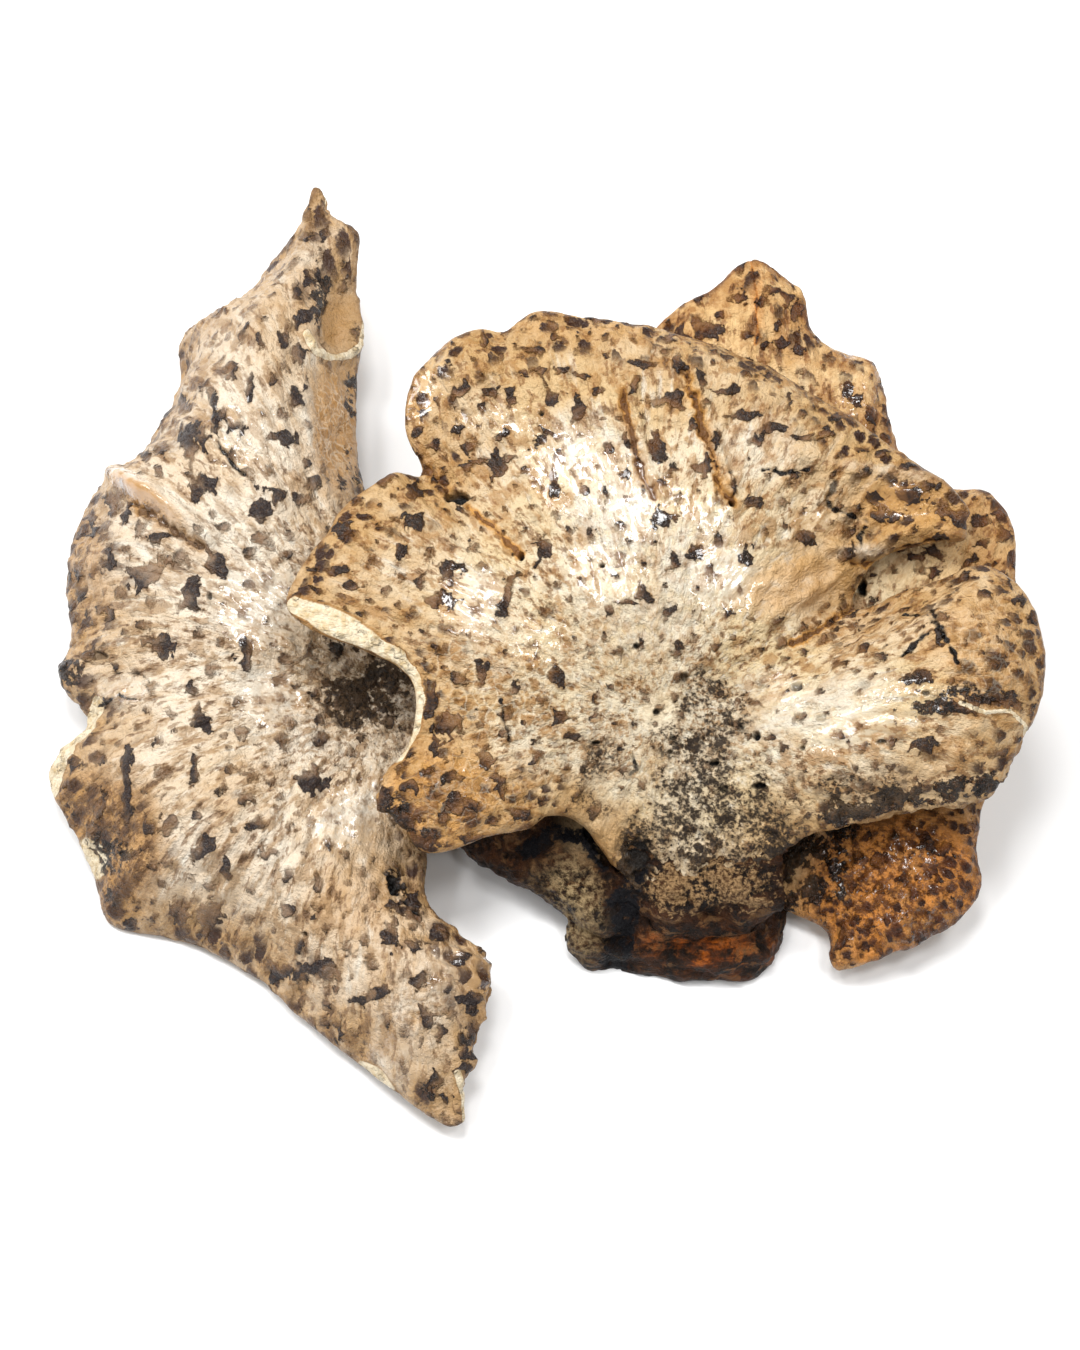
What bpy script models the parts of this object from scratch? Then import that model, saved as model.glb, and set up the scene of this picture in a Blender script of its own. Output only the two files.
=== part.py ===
"""Bracket fungus: a dried cluster of three spotted caps that fork from one stout stem.

The cluster stands on the flat cut where the stem left the wood, and two drooping stretches of the left cap's
margin touch the same surface. Each cap is a wavy sheet that rises out of its hollow to a rounded crest and
falls to a thin margin. Metres, +Z up, origin at the centre of the cut.

The margins are read from one view of the specimen, so each rim point holds where it lies in that view (across
and down, in view units) and how high its margin and its crest stand above the cut, in millimetres.
"""

import math

import bmesh
import bpy
import numpy as np
from mathutils import Vector
from mathutils.geometry import delaunay_2d_cdt

MM = 0.001

# The view in which the margins were read: 3 units are 1 mm at VIEW_TARGET.
VIEW_TILT = math.radians(65.0)
VIEW_DISTANCE = 1.0
VIEW_FOCAL_UNITS = 3000.0
VIEW_CENTRE_UNITS = (540.0, 675.0)
VIEW_TARGET = Vector((-0.045, 0.050, 0.045))

# Flesh thickness, at the heart of a cap and at its margin.
HEART_THICKNESS = 12.0 * MM
MARGIN_THICKNESS = 4.5 * MM
HEART_REACH = 38.0 * MM
# How far along the margin one station's drop blends into the next.
DROP_BLEND = 9.0 * MM

# Lengths of the facets, along the margin and across the skin.
RIM_STEP = 6.0 * MM
SKIN_STEP = 7.7 * MM
CURVE_PARTS = 12
STEM_SIDES = 28
SLAB_SIZE = 0.5
FORK_GAP = 0.5 * MM
MERGE = 0.00005


def from_view(across, down, height_mm):
    """The point that shows at (across, down) in the view and stands height_mm above the cut."""
    forward = Vector((0.0, math.cos(VIEW_TILT), -math.sin(VIEW_TILT)))
    up = Vector((0.0, math.sin(VIEW_TILT), math.cos(VIEW_TILT)))
    eye = VIEW_TARGET - forward * VIEW_DISTANCE
    ray = (
        forward
        + Vector((1.0, 0.0, 0.0)) * (across - VIEW_CENTRE_UNITS[0]) / VIEW_FOCAL_UNITS
        + up * (VIEW_CENTRE_UNITS[1] - down) / VIEW_FOCAL_UNITS
    )
    return eye + ray * ((height_mm * MM - eye.z) / ray.z)


# Each rim row is (across, down, margin height, crest height), clockwise as seen from above.
MAIN_CAP = {
    "roll": 22,
    "pins": {
        "heart": (650, 790, 46),
        "west lobe, inner": (470, 620, 72),
        "fan, middle": (640, 560, 76),
        "fan, east": (760, 560, 74),
        "cleft, inner end": (745, 685, 58),
        "east lobe, middle": (900, 690, 76),
        "south-west lobe, middle": (480, 760, 60),
    },
    "rim": {
        "west lobe": [
            (281, 604, 70, 73),
            (290, 578, 72, 76),
            (312, 545, 73, 79),
            (338, 508, 74, 81),
            (370, 484, 75, 82),
            (398, 468, 75, 82),
        ],
        "crease beside the west lobe": [(428, 470, 70, 74)],
        "north-west lobe": [
            (408, 446, 74, 80),
            (401, 412, 76, 84),
            (408, 378, 78, 87),
            (432, 350, 80, 89),
            (470, 326, 82, 91),
            (492, 325, 83, 91),
        ],
        "nick": [(509, 333, 82, 90)],
        "north margin": [
            (514, 316, 84, 91),
            (530, 306, 84, 91),
            (575, 313, 83, 92),
            (625, 319, 82, 93),
            (670, 328, 81, 93),
            (715, 342, 80, 93),
            (760, 358, 79, 92),
            (800, 382, 78, 91),
            (840, 406, 77, 90),
            (880, 432, 76, 88),
        ],
        "rolled corner": [
            (915, 458, 75, 86),
            (946, 484, 74, 84),
            (972, 518, 73, 80),
            (955, 540, 70, 76),
        ],
        "cleft": [
            (912, 548, 66, 70),
            (872, 566, 60, 62),
            (852, 602, 56, 57),
            (890, 592, 64, 67),
            (935, 576, 71, 75),
        ],
        "east lobe": [
            (985, 562, 75, 81),
            (1022, 584, 75, 82),
            (1043, 618, 74, 82),
            (1050, 668, 71, 80),
            (1042, 712, 67, 77),
            (1028, 738, 64, 75),
            (1022, 762, 61, 73),
            (1004, 790, 57, 70),
        ],
        "south-east margin": [
            (985, 807, 54, 67),
            (930, 817, 51, 62),
            (870, 829, 47, 56),
            (820, 838, 44, 50),
            (785, 856, 39, 43),
        ],
        "lip over the stem": [
            (780, 895, 26, 32),
            (745, 920, 18, 27),
            (695, 925, 17, 26),
            (650, 914, 20, 28),
            (622, 882, 28, 34),
            (604, 856, 36, 40),
        ],
        "arch": [(583, 826, 43, 44), (560, 813, 47, 48), (535, 830, 49, 52)],
        "south-west lobe": [
            (490, 841, 50, 57),
            (455, 857, 50, 59),
            (420, 857, 51, 61),
            (398, 828, 54, 64),
            (371, 806, 56, 66),
            (378, 776, 58, 67),
        ],
        "turned-up margin": [
            (402, 745, 62, 64),
            (416, 704, 65, 64),
            (404, 671, 67, 66),
            (366, 651, 69, 68),
            (318, 632, 70, 70),
        ],
    },
    "folds": {
        "fold out of the cleft": (-4, 7, (852, 606, 60), (800, 640, 60), (740, 680, 58)),
        "ridge of the east lobe": (4, 11, (740, 755, 62), (850, 705, 74), (960, 640, 80)),
        "crease beside the west lobe": (-3, 5, (428, 470, 74), (457, 498, 80), (520, 560, 76)),
    },
}

LEFT_CAP = {
    "roll": 38,
    "pins": {
        "heart": (372, 715, 27),
        "ridge, north end": (310, 300, 57),
        "ridge, middle": (308, 400, 60),
        "ridge, south end": (340, 490, 52),
        "west side, middle": (200, 640, 47),
        "south-west side, middle": (240, 800, 44),
        "south lobe, middle": (400, 960, 38),
    },
    "rim": {
        "north tip": [
            (298, 220, 40, 52),
            (318, 184, 46, 50),
            (340, 214, 44, 50),
            (361, 226, 40, 50),
            (362, 262, 38, 52),
            (358, 296, 36, 54),
        ],
        "steep east wall": [
            (364, 326, 30, 56),
            (361, 370, 26, 57),
            (361, 412, 24, 56),
            (364, 455, 24, 52),
        ],
        "margin under the main cap": [
            (372, 500, 26, 46),
            (408, 560, 28, 38),
            (450, 630, 30, 34),
            (462, 710, 30, 32),
            (452, 790, 28, 30),
        ],
        "south lobe, right side": [
            (428, 862, 24, 30),
            (438, 912, 22, 34),
            (462, 928, 22, 36),
            (492, 960, 22, 36),
            (498, 992, 20, 35),
            (484, 1038, 17, 32),
            (476, 1072, 15, 28),
            (464, 1090, 14, 25),
            (468, 1122, 12, 20),
        ],
        "south lobe, left side": [
            (455, 1131, 9, 20),
            (400, 1103, 7, 24),
            (345, 1060, 6, 29),
            (290, 1013, 5, 33),
            (240, 973, 3, 36),
            (190, 950, 2, 38),
        ],
        "south-west corner": [
            (140, 937, 1, 38),
            (104, 928, 1, 37),
            (92, 895, 3, 37),
            (72, 843, 6, 37),
            (50, 802, 9, 37),
            (42, 776, 11, 37),
            (60, 748, 14, 38),
        ],
        "west notch": [(86, 722, 19, 37), (70, 701, 19, 37)],
        "west knob": [(54, 680, 19, 37), (63, 659, 18, 38)],
        "west margin": [
            (71, 638, 13, 40),
            (61, 590, 9, 42),
            (68, 548, 8, 43),
            (82, 508, 8, 43),
            (104, 479, 8, 44),
            (134, 462, 7, 45),
            (160, 420, 4, 46),
            (177, 375, 1, 47),
            (177, 346, 1, 47),
        ],
        "north shoulder": [
            (196, 321, 4, 48),
            (235, 308, 10, 50),
            (266, 268, 22, 50),
        ],
    },
    "folds": {
        "pocket in the east wall": (-6, 6, (344, 270, 48), (348, 335, 48)),
    },
}

LOWER_CAP = {
    "roll": 10,
    "pins": {
        "heart": (785, 850, 17),
        "north lobe, middle": (770, 450, 58),
        "below the cleft": (850, 600, 44),
        "east lobe, middle": (920, 640, 46),
        "south-east flap, middle": (890, 870, 28),
    },
    "rim": {
        "north margin under the main cap": [
            (600, 420, 58, 58),
            (640, 345, 64, 65),
            (676, 302, 68, 70),
        ],
        "north peak": [
            (712, 285, 70, 73),
            (732, 264, 71, 74),
            (752, 254, 71, 75),
            (782, 271, 69, 74),
            (808, 289, 67, 73),
            (813, 328, 64, 71),
        ],
        "north-east lobe": [
            (838, 348, 62, 69),
            (866, 353, 61, 68),
            (889, 392, 59, 67),
            (898, 438, 57, 65),
            (922, 474, 56, 63),
        ],
        "east lobe": [
            (955, 488, 56, 62),
            (988, 486, 56, 62),
            (1012, 514, 55, 61),
            (1021, 552, 53, 59),
            (1019, 590, 50, 56),
            (1008, 650, 45, 51),
            (1000, 720, 38, 45),
            (990, 780, 31, 39),
        ],
        "south-east flap": [
            (984, 826, 26, 34),
            (984, 868, 22, 31),
            (987, 896, 19, 28),
            (966, 922, 16, 27),
            (915, 949, 13, 25),
            (866, 972, 10, 21),
            (838, 979, 9, 18),
            (822, 962, 10, 17),
        ],
        "bay beside the stem": [
            (824, 934, 10, 14),
            (804, 920, 11, 13),
            (782, 912, 10, 12),
        ],
        "inside the stem": [
            (762, 890, 10, 12),
            (748, 850, 11, 13),
            (735, 790, 14, 17),
            (712, 700, 24, 27),
            (650, 540, 43, 44),
        ],
    },
    "folds": {},
}

# The stem's limbs, in millimetres from the cut's centre: x, y and z of the middle, half width, and half depth
# (trunk) or half height (left limb).
TRUNK = [
    (1, -2, 0, 38, 37),
    (1, -1, 9, 38, 36),
    (1, 3, 17, 36, 29),
    (0, 7, 26, 34, 25),
    (-2, 11, 34, 30, 20),
    (-2, 16, 40, 24, 12),
]
LEFT_LIMB = [
    (8, 8, 15, 20, 13),
    (-18, 2, 15, 32, 15),
    (-46, 14, 15, 27, 14),
    (-72, 32, 15, 25, 13),
    (-98, 48, 15, 25, 12),
    (-126, 62, 17, 13, 9),
]
# How square the trunk's section is: 1 is an ellipse, towards 0 a rectangle.
TRUNK_SQUARENESS = 0.6
FLUTES = 5
FLUTE_DEPTH = 0.04


def through(points, parts):
    """A closed curve through the points, smooth at each, with parts steps from one to the next."""
    ahead = np.roll(points, -1, axis=0)
    gap = np.linalg.norm(ahead - points, axis=1)[:, None]
    chord = (ahead - points) / gap
    gap_back = np.roll(gap, 1, axis=0)
    slope = (np.roll(chord, 1, axis=0) * gap + chord * gap_back) / (gap + gap_back)
    share = (np.arange(parts) / parts)[None, :, None]
    curve = (
        points[:, None] * (2 * share**3 - 3 * share**2 + 1)
        + (slope * gap)[:, None] * (share**3 - 2 * share**2 + share)
        + ahead[:, None] * (3 * share**2 - 2 * share**3)
        + (np.roll(slope, -1, axis=0) * gap)[:, None] * (share**3 - share**2)
    )
    return curve.reshape(-1, points.shape[1])


def evenly(curve, step):
    """The closed curve as points about one step apart."""
    closed = np.vstack([curve, curve[:1]])
    run = np.concatenate([[0.0], np.cumsum(np.linalg.norm(np.diff(closed[:, :3], axis=0), axis=1))])
    count = round(run[-1] / step)
    stops = np.arange(count) / count * run[-1]
    return np.stack([np.interp(stops, run, closed[:, axis]) for axis in range(closed.shape[1])], axis=1)


def rim_stations(cap):
    """Rows of x, y and z of the margin, and the height of the crest inside it."""
    rows = [row for stretch in cap["rim"].values() for row in stretch]
    return np.array([(*from_view(across, down, margin), crest * MM) for across, down, margin, crest in rows])


def distance_to(path, place):
    """How far each place in plan is from a path, given as rows of x and y."""
    start, along = path[:-1], np.diff(path, axis=0)
    offset = place[:, None] - start
    share = ((offset * along).sum(2) / (along**2).sum(1)).clip(0, 1)
    return np.linalg.norm(offset - share[..., None] * along, axis=2).min(1)


def inside(outline, place):
    """Which places in plan lie within the closed outline."""
    x, y = place[:, :1], place[:, 1:]
    (x0, y0), (x1, y1) = outline[:-1].T, outline[1:].T
    spans = (y0 > y) != (y1 > y)
    crossings = spans & (x < x0 + (y - y0) * (x1 - x0) / np.where(y1 == y0, 1.0, y1 - y0))
    return crossings.sum(1) % 2 == 1


def plate_kernel(place, pins):
    """The bending of a thin plate at each place, for a unit push at each pin."""
    square = ((place[:, None] - pins) ** 2).sum(2)
    return square * np.log(square + 1e-12)


def plate_height(pins, heights, place):
    """Height of a thin plate that is held at the pins and bends as little as it can between them."""
    level = np.column_stack([np.ones(len(pins)), pins])
    system = np.block([[plate_kernel(pins, pins), level], [level.T, np.zeros((3, 3))]])
    pushes = np.linalg.solve(system, np.concatenate([heights, np.zeros(3)]))
    return np.column_stack([plate_kernel(place, pins), np.ones(len(place)), place]) @ pushes


def skin_height(cap, outline, place):
    """Height of the cap's skin at each place in plan."""
    stations = rim_stations(cap)
    inner = np.array([from_view(*pin) for pin in cap["pins"].values()])
    pins = np.vstack([stations[:, :2], inner[:, :2]])
    height = plate_height(pins, np.concatenate([stations[:, 3], inner[:, 2]]), place)
    near = np.exp(-0.5 * ((place[:, None] - stations[:, :2]) ** 2).sum(2) / DROP_BLEND**2) + 1e-9
    drop = near @ (stations[:, 3] - stations[:, 2]) / near.sum(1)
    share = (distance_to(outline, place) / (cap["roll"] * MM)).clip(0, 1)
    height -= drop * (1 - share) ** 2
    for lift_mm, width_mm, *course in cap["folds"].values():
        path = np.array([from_view(*point)[:2] for point in course])
        height += lift_mm * MM * np.exp(-0.5 * (distance_to(path, place) / (width_mm * MM)) ** 2)
    return height


def spread(outline, step):
    """Places in plan that fill the outline, about one step apart."""
    low, high = outline.min(0), outline.max(0)
    x = np.arange(low[0], high[0], step)
    y = np.arange(low[1], high[1], step * math.sqrt(0.75))
    grid = np.stack(np.meshgrid(x, y), axis=2)
    grid[1::2, :, 0] += step / 2
    place = grid.reshape(-1, 2)
    return place[inside(outline, place) & (distance_to(outline, place) > 0.6 * step)]


def new_object(name, bm, collection):
    mesh = bpy.data.meshes.new(name)
    bm.to_mesh(mesh)
    bm.free()
    obj = bpy.data.objects.new(name, mesh)
    collection.objects.link(obj)
    return obj


def cap_sheet(name, cap, collection):
    """The cap's skin: its outline in plan filled with triangles, then lifted to its height."""
    rim = evenly(through(rim_stations(cap), CURVE_PARTS), RIM_STEP)
    outline = np.vstack([rim[:, :2], rim[:1, :2]])
    place = np.vstack([rim[:, :2], spread(outline, SKIN_STEP)])
    height = skin_height(cap, outline, place)
    heart = np.array(from_view(*cap["pins"]["heart"])[:2])
    thickness = MARGIN_THICKNESS + (HEART_THICKNESS - MARGIN_THICKNESS) * np.exp(
        -0.5 * ((place - heart) ** 2).sum(1) / HEART_REACH**2
    )
    edges = [(index, (index + 1) % len(rim)) for index in range(len(rim))]
    corners, _, faces, *_ = delaunay_2d_cdt([Vector(spot) for spot in place], edges, [], 1, MERGE)
    bm = bmesh.new()
    flesh = bm.verts.layers.deform.verify()
    for spot, lift, depth in zip(corners, height, thickness, strict=True):
        bm.verts.new((*spot, lift))[flesh][0] = depth / HEART_THICKNESS
    bm.verts.ensure_lookup_table()
    for face in faces:
        bm.faces.new([bm.verts[index] for index in face])
    bmesh.ops.recalc_face_normals(bm, faces=bm.faces)
    if sum(face.normal.z for face in bm.faces) < 0:
        bmesh.ops.reverse_faces(bm, faces=bm.faces)
    sheet = new_object(name, bm, collection)
    sheet.vertex_groups.new(name="flesh")
    return sheet


def thicken(sheet):
    """Gives a sheet its flesh, below the skin."""
    solid = sheet.modifiers.new("Flesh", "SOLIDIFY")
    solid.thickness = HEART_THICKNESS
    solid.offset = -1.0
    solid.vertex_group = "flesh"
    sheet.modifiers.new("Facets", "TRIANGULATE").quad_method = "FIXED"
    return sheet


def grow(solid, distance):
    """Moves a solid's faces outwards, so that what it cuts stands clear of it."""
    swell = solid.modifiers.new("Clearance", "DISPLACE")
    swell.strength = distance
    swell.mid_level = 0.0
    return solid


def slab_below_cut(collection):
    """Everything below the plane of the cut, under the left cap."""
    bm = bmesh.new()
    bmesh.ops.create_cube(bm, size=SLAB_SIZE)
    bmesh.ops.translate(bm, vec=(VIEW_TARGET.x, VIEW_TARGET.y, -SLAB_SIZE / 2), verts=bm.verts)
    return new_object("slab below the cut", bm, collection)


def level_ring(rows, index, turn):
    """The way from the trunk's centre line to its wall: a rounded square with shallow flutes."""
    *_, half_width, half_depth = rows[index]
    across = math.copysign(abs(math.cos(turn)) ** TRUNK_SQUARENESS, math.cos(turn))
    back = math.copysign(abs(math.sin(turn)) ** TRUNK_SQUARENESS, math.sin(turn))
    flutes = 1.0 + FLUTE_DEPTH * math.cos(FLUTES * turn)
    return Vector((half_width * across, half_depth * back, 0.0)) * flutes


def upright_ring(rows, index, turn):
    """The way from a side limb's centre line to its wall, square to the way the limb runs."""
    *_, half_width, half_height = rows[index]
    along = Vector(rows[min(index + 1, len(rows) - 1)][:2]) - Vector(rows[max(index - 1, 0)][:2])
    side = along.orthogonal().normalized() * half_width * math.cos(turn)
    return Vector((side.x, side.y, half_height * math.sin(turn)))


def limb(name, rows, wall, collection):
    """A closed tube through the rows, flattened where it meets the plane of the cut."""
    last = len(rows) - 1
    bm = bmesh.new()
    bmesh.ops.create_grid(bm, x_segments=last, y_segments=STEM_SIDES, size=0.5)
    for vert in bm.verts:
        index = round((vert.co.x + 0.5) * last)
        turn = (vert.co.y + 0.5) * math.tau
        vert.co = (Vector(rows[index][:3]) + wall(rows, index, turn)) * MM
        vert.co.z = max(vert.co.z, 0.0)
    bmesh.ops.remove_doubles(bm, verts=bm.verts, dist=MERGE)
    bmesh.ops.holes_fill(bm, edges=[edge for edge in bm.edges if edge.is_boundary], sides=0)
    bmesh.ops.recalc_face_normals(bm, faces=bm.faces)
    return new_object(name, bm, collection)


def boolean(obj, operation, other):
    step = obj.modifiers.new(f"{operation.title()} {other.name}", "BOOLEAN")
    step.operation = operation
    step.solver = "EXACT"
    step.object = other


def as_helper(obj):
    obj.hide_render = True
    obj.display_type = "WIRE"
    return obj


def finish_material(name, colour, roughness):
    material = bpy.data.materials.new(name)
    material.use_nodes = True
    shader = material.node_tree.nodes["Principled BSDF"]
    shader.inputs["Base Color"].default_value = (*colour, 1.0)
    shader.inputs["Roughness"].default_value = roughness
    shader.inputs["Metallic"].default_value = 0.0
    return material


def new_collection(name):
    collection = bpy.data.collections.new(name)
    bpy.context.scene.collection.children.link(collection)
    return collection


def clear_scene():
    for obj in list(bpy.data.objects):
        bpy.data.objects.remove(obj, do_unlink=True)


def build():
    clear_scene()
    parts = new_collection("bracket_fungus")
    helpers = new_collection("cutters")

    skins = {
        "main_cap": (MAIN_CAP, (0.62, 0.47, 0.29), 0.35),
        "left_cap": (LEFT_CAP, (0.60, 0.45, 0.30), 0.35),
        "lower_cap": (LOWER_CAP, (0.38, 0.22, 0.10), 0.30),
    }
    solids = {}
    for name, (cap, colour, roughness) in skins.items():
        solids[name] = thicken(cap_sheet(name, cap, parts))
        solids[name].data.materials.append(finish_material(f"{name} skin", colour, roughness))

    stem = limb("stem", TRUNK, level_ring, parts)
    stem.data.materials.append(finish_material("stem bark", (0.10, 0.06, 0.04), 0.6))
    boolean(stem, "UNION", as_helper(limb("left limb", LEFT_LIMB, upright_ring, helpers)))
    for name, (cap, *_) in skins.items():
        cutter = grow(thicken(cap_sheet(f"{name} cutter", cap, helpers)), FORK_GAP)
        boolean(stem, "DIFFERENCE", as_helper(cutter))
    boolean(solids["left_cap"], "DIFFERENCE", as_helper(slab_below_cut(helpers)))


build()
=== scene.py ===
import math
import random

import bmesh
import bpy
import numpy as np
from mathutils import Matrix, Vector, kdtree, noise


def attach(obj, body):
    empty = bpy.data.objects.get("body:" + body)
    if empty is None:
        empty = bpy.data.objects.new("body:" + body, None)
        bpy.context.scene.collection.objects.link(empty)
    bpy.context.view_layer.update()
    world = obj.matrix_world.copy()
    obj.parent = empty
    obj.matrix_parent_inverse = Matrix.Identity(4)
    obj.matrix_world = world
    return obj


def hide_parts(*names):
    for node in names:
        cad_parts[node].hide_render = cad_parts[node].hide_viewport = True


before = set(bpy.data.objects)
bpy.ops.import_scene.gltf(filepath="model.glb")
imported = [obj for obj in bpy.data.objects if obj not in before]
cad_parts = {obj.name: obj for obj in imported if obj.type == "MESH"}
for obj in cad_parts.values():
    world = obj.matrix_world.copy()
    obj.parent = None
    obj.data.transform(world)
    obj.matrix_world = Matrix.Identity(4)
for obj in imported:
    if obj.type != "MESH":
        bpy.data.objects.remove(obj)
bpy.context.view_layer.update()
mm = 0.001

# The view of the specimen. Marks on the skins are placed in its picture, which is 1080 wide and 1350 high.
look = {
    "eye": (-0.045, -0.3726, 0.9513),
    "tilt": 25.0,
    "lens": 80.0,
    "focal": 3000.0,
    "centre": (540.0, 675.0),
    "pixels": 3,  # of the picture to a millimetre on the skins
}


def tint(red, green, blue):
    linear = [((c / 255 + 0.055) / 1.055) ** 2.4 if c > 10 else c / 255 / 12.92 for c in (red, green, blue)]
    return (*linear, 1.0)


def smooth(value, low, high):
    share = np.clip((value - low) / (high - low), 0, 1)
    return share * share * (3 - 2 * share)


def inPicture(points):
    tilt = math.radians(look["tilt"])
    offset = points - np.array(look["eye"])
    up = np.array([0, math.cos(tilt), math.sin(tilt)])
    ahead = np.array([0, math.sin(tilt), -math.cos(tilt)])
    depth = offset @ ahead
    across = look["centre"][0] + look["focal"] * offset[:, 0] / depth
    down = look["centre"][1] - look["focal"] * (offset @ up) / depth
    return np.column_stack([across, down])


def turnedToEye(place, facing):
    toEye = np.array(look["eye"]) - place
    toEye /= np.linalg.norm(toEye, axis=1)[:, None]
    return (facing * toEye).sum(1)


# size, seed and octaves of each grain
grains = {
    "wander": (26 * mm, 1, 2),
    "lumps": (8 * mm, 2, 2),
    "fineLumps": (3.4 * mm, 3, 2),
    "folds": (6 * mm, 4, 2),
    "margin": (9 * mm, 5, 2),
    "holeEdge": (2.5 * mm, 6, 1),
    "creases": (10 * mm, 7, 2),
    "crumbs": (2.4 * mm, 8, 2),
    "torn": (5 * mm, 9, 3),
    "scaleAcross": (2.8 * mm, 11, 2),
    "scaleDown": (2.8 * mm, 12, 2),
    "shakeAcross": (7 * mm, 21, 1),
    "shakeDown": (7 * mm, 22, 1),
    "bark": (11 * mm, 31, 3),
    "fibre": (4.5 * mm, 32, 3),
    "fineBark": (2.6 * mm, 33, 2),
    "front": (14 * mm, 34, 2),
    "clods": (4 * mm, 41, 3),
    "crackEdge": (3 * mm, 42, 2),
    "ripples": (4.2 * mm, 51, 2),
}


def grain(points, kind):
    size, seed, octaves = grains[kind]
    shift = Vector((seed * 7.31, seed * 3.17, seed * 5.53))
    total = np.zeros(len(points))
    for octave in range(octaves):
        scaled = points / size * 2**octave
        total += np.array([noise.noise(Vector(p) + shift) for p in scaled]) / 2**octave
    return total


def shaken(place):
    return np.column_stack([grain(place, "shakeAcross"), grain(place, "shakeDown")]) * 3


def toPath(spots, path):
    path = np.array(path, float)
    best = np.full(len(spots), 1e9)
    for a, b in zip(path[:-1], path[1:]):
        step = b - a
        share = np.clip(((spots - a) @ step) / (step @ step + 1e-9), 0, 1)
        best = np.minimum(best, np.linalg.norm(spots - a - share[:, None] * step, axis=1))
    return best


def blobs(spots, rows):
    # rows of across, down, half width, half height, turn in degrees, strength
    total = np.zeros(len(spots))
    for across, down, wide, high, turn, strength in rows:
        c, s = math.cos(math.radians(turn)), math.sin(math.radians(turn))
        x, y = (spots - (across, down)).T
        reach = np.hypot((x * c + y * s) / wide, (y * c - x * s) / high)
        total = np.maximum(total, strength * (1 - smooth(reach, 0.35, 1.25)))
    return total


def bands(spots, rows, outer, inner):
    # rows of path, width
    total = np.zeros(len(spots))
    for path, wide in rows:
        total = np.maximum(total, smooth(toPath(spots, path), wide * outer, wide * inner))
    return total


def placed(name, data):
    piece = bpy.data.objects.new(name, data)
    bpy.context.scene.collection.objects.link(piece)
    return piece


def meshFrom(bm, name):
    mesh = bpy.data.meshes.new(name)
    bm.to_mesh(mesh)
    bm.free()
    return mesh


def applied(coarse):
    shown = coarse.evaluated_get(bpy.context.evaluated_depsgraph_get())
    fine = bpy.data.meshes.new_from_object(shown)
    bpy.data.objects.remove(coarse)
    return fine


def readMesh(mesh):
    count = len(mesh.vertices)
    place, facing = np.zeros(count * 3), np.zeros(count * 3)
    mesh.vertices.foreach_get("co", place)
    mesh.vertices.foreach_get("normal", facing)
    return place.reshape(-1, 3), facing.reshape(-1, 3)


def store(mesh, layers):
    kinds = {1: ("FLOAT", "value"), 3: ("FLOAT_VECTOR", "vector"), 4: ("FLOAT_COLOR", "color")}
    for name, values in layers.items():
        kind, field = kinds[values.size // len(values)]
        layer = mesh.attributes.new(name, kind, "POINT")
        layer.data.foreach_set(field, values.astype(np.float32).ravel())


def finishedPiece(name, fine, place, material):
    place[:, 2] = np.maximum(place[:, 2], 0.0)
    fine.vertices.foreach_set("co", place.ravel())
    fine.polygons.foreach_set("use_smooth", [True] * len(fine.polygons))
    fine.update()
    fine.materials.clear()
    fine.materials.append(material)
    piece = placed(name, fine)
    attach(piece, "root")
    fine.calc_loop_triangles()
    print(name, len(fine.vertices), "vertices", len(fine.loop_triangles), "triangles")
    return piece


# how fine the skin of a cap is
facets = {
    "weld": 0.01 * mm,
    "levels": 2,
    "markReach": 2.5,  # pixels round a hole, a crack or a thin band of flesh that get closer facets
    "thinBand": 5,
    "heartReach": 17 * mm,
    "heartWeld": 0.42 * mm,
    "evenReach": 14 * mm,
    "evenings": 30,
}


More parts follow.
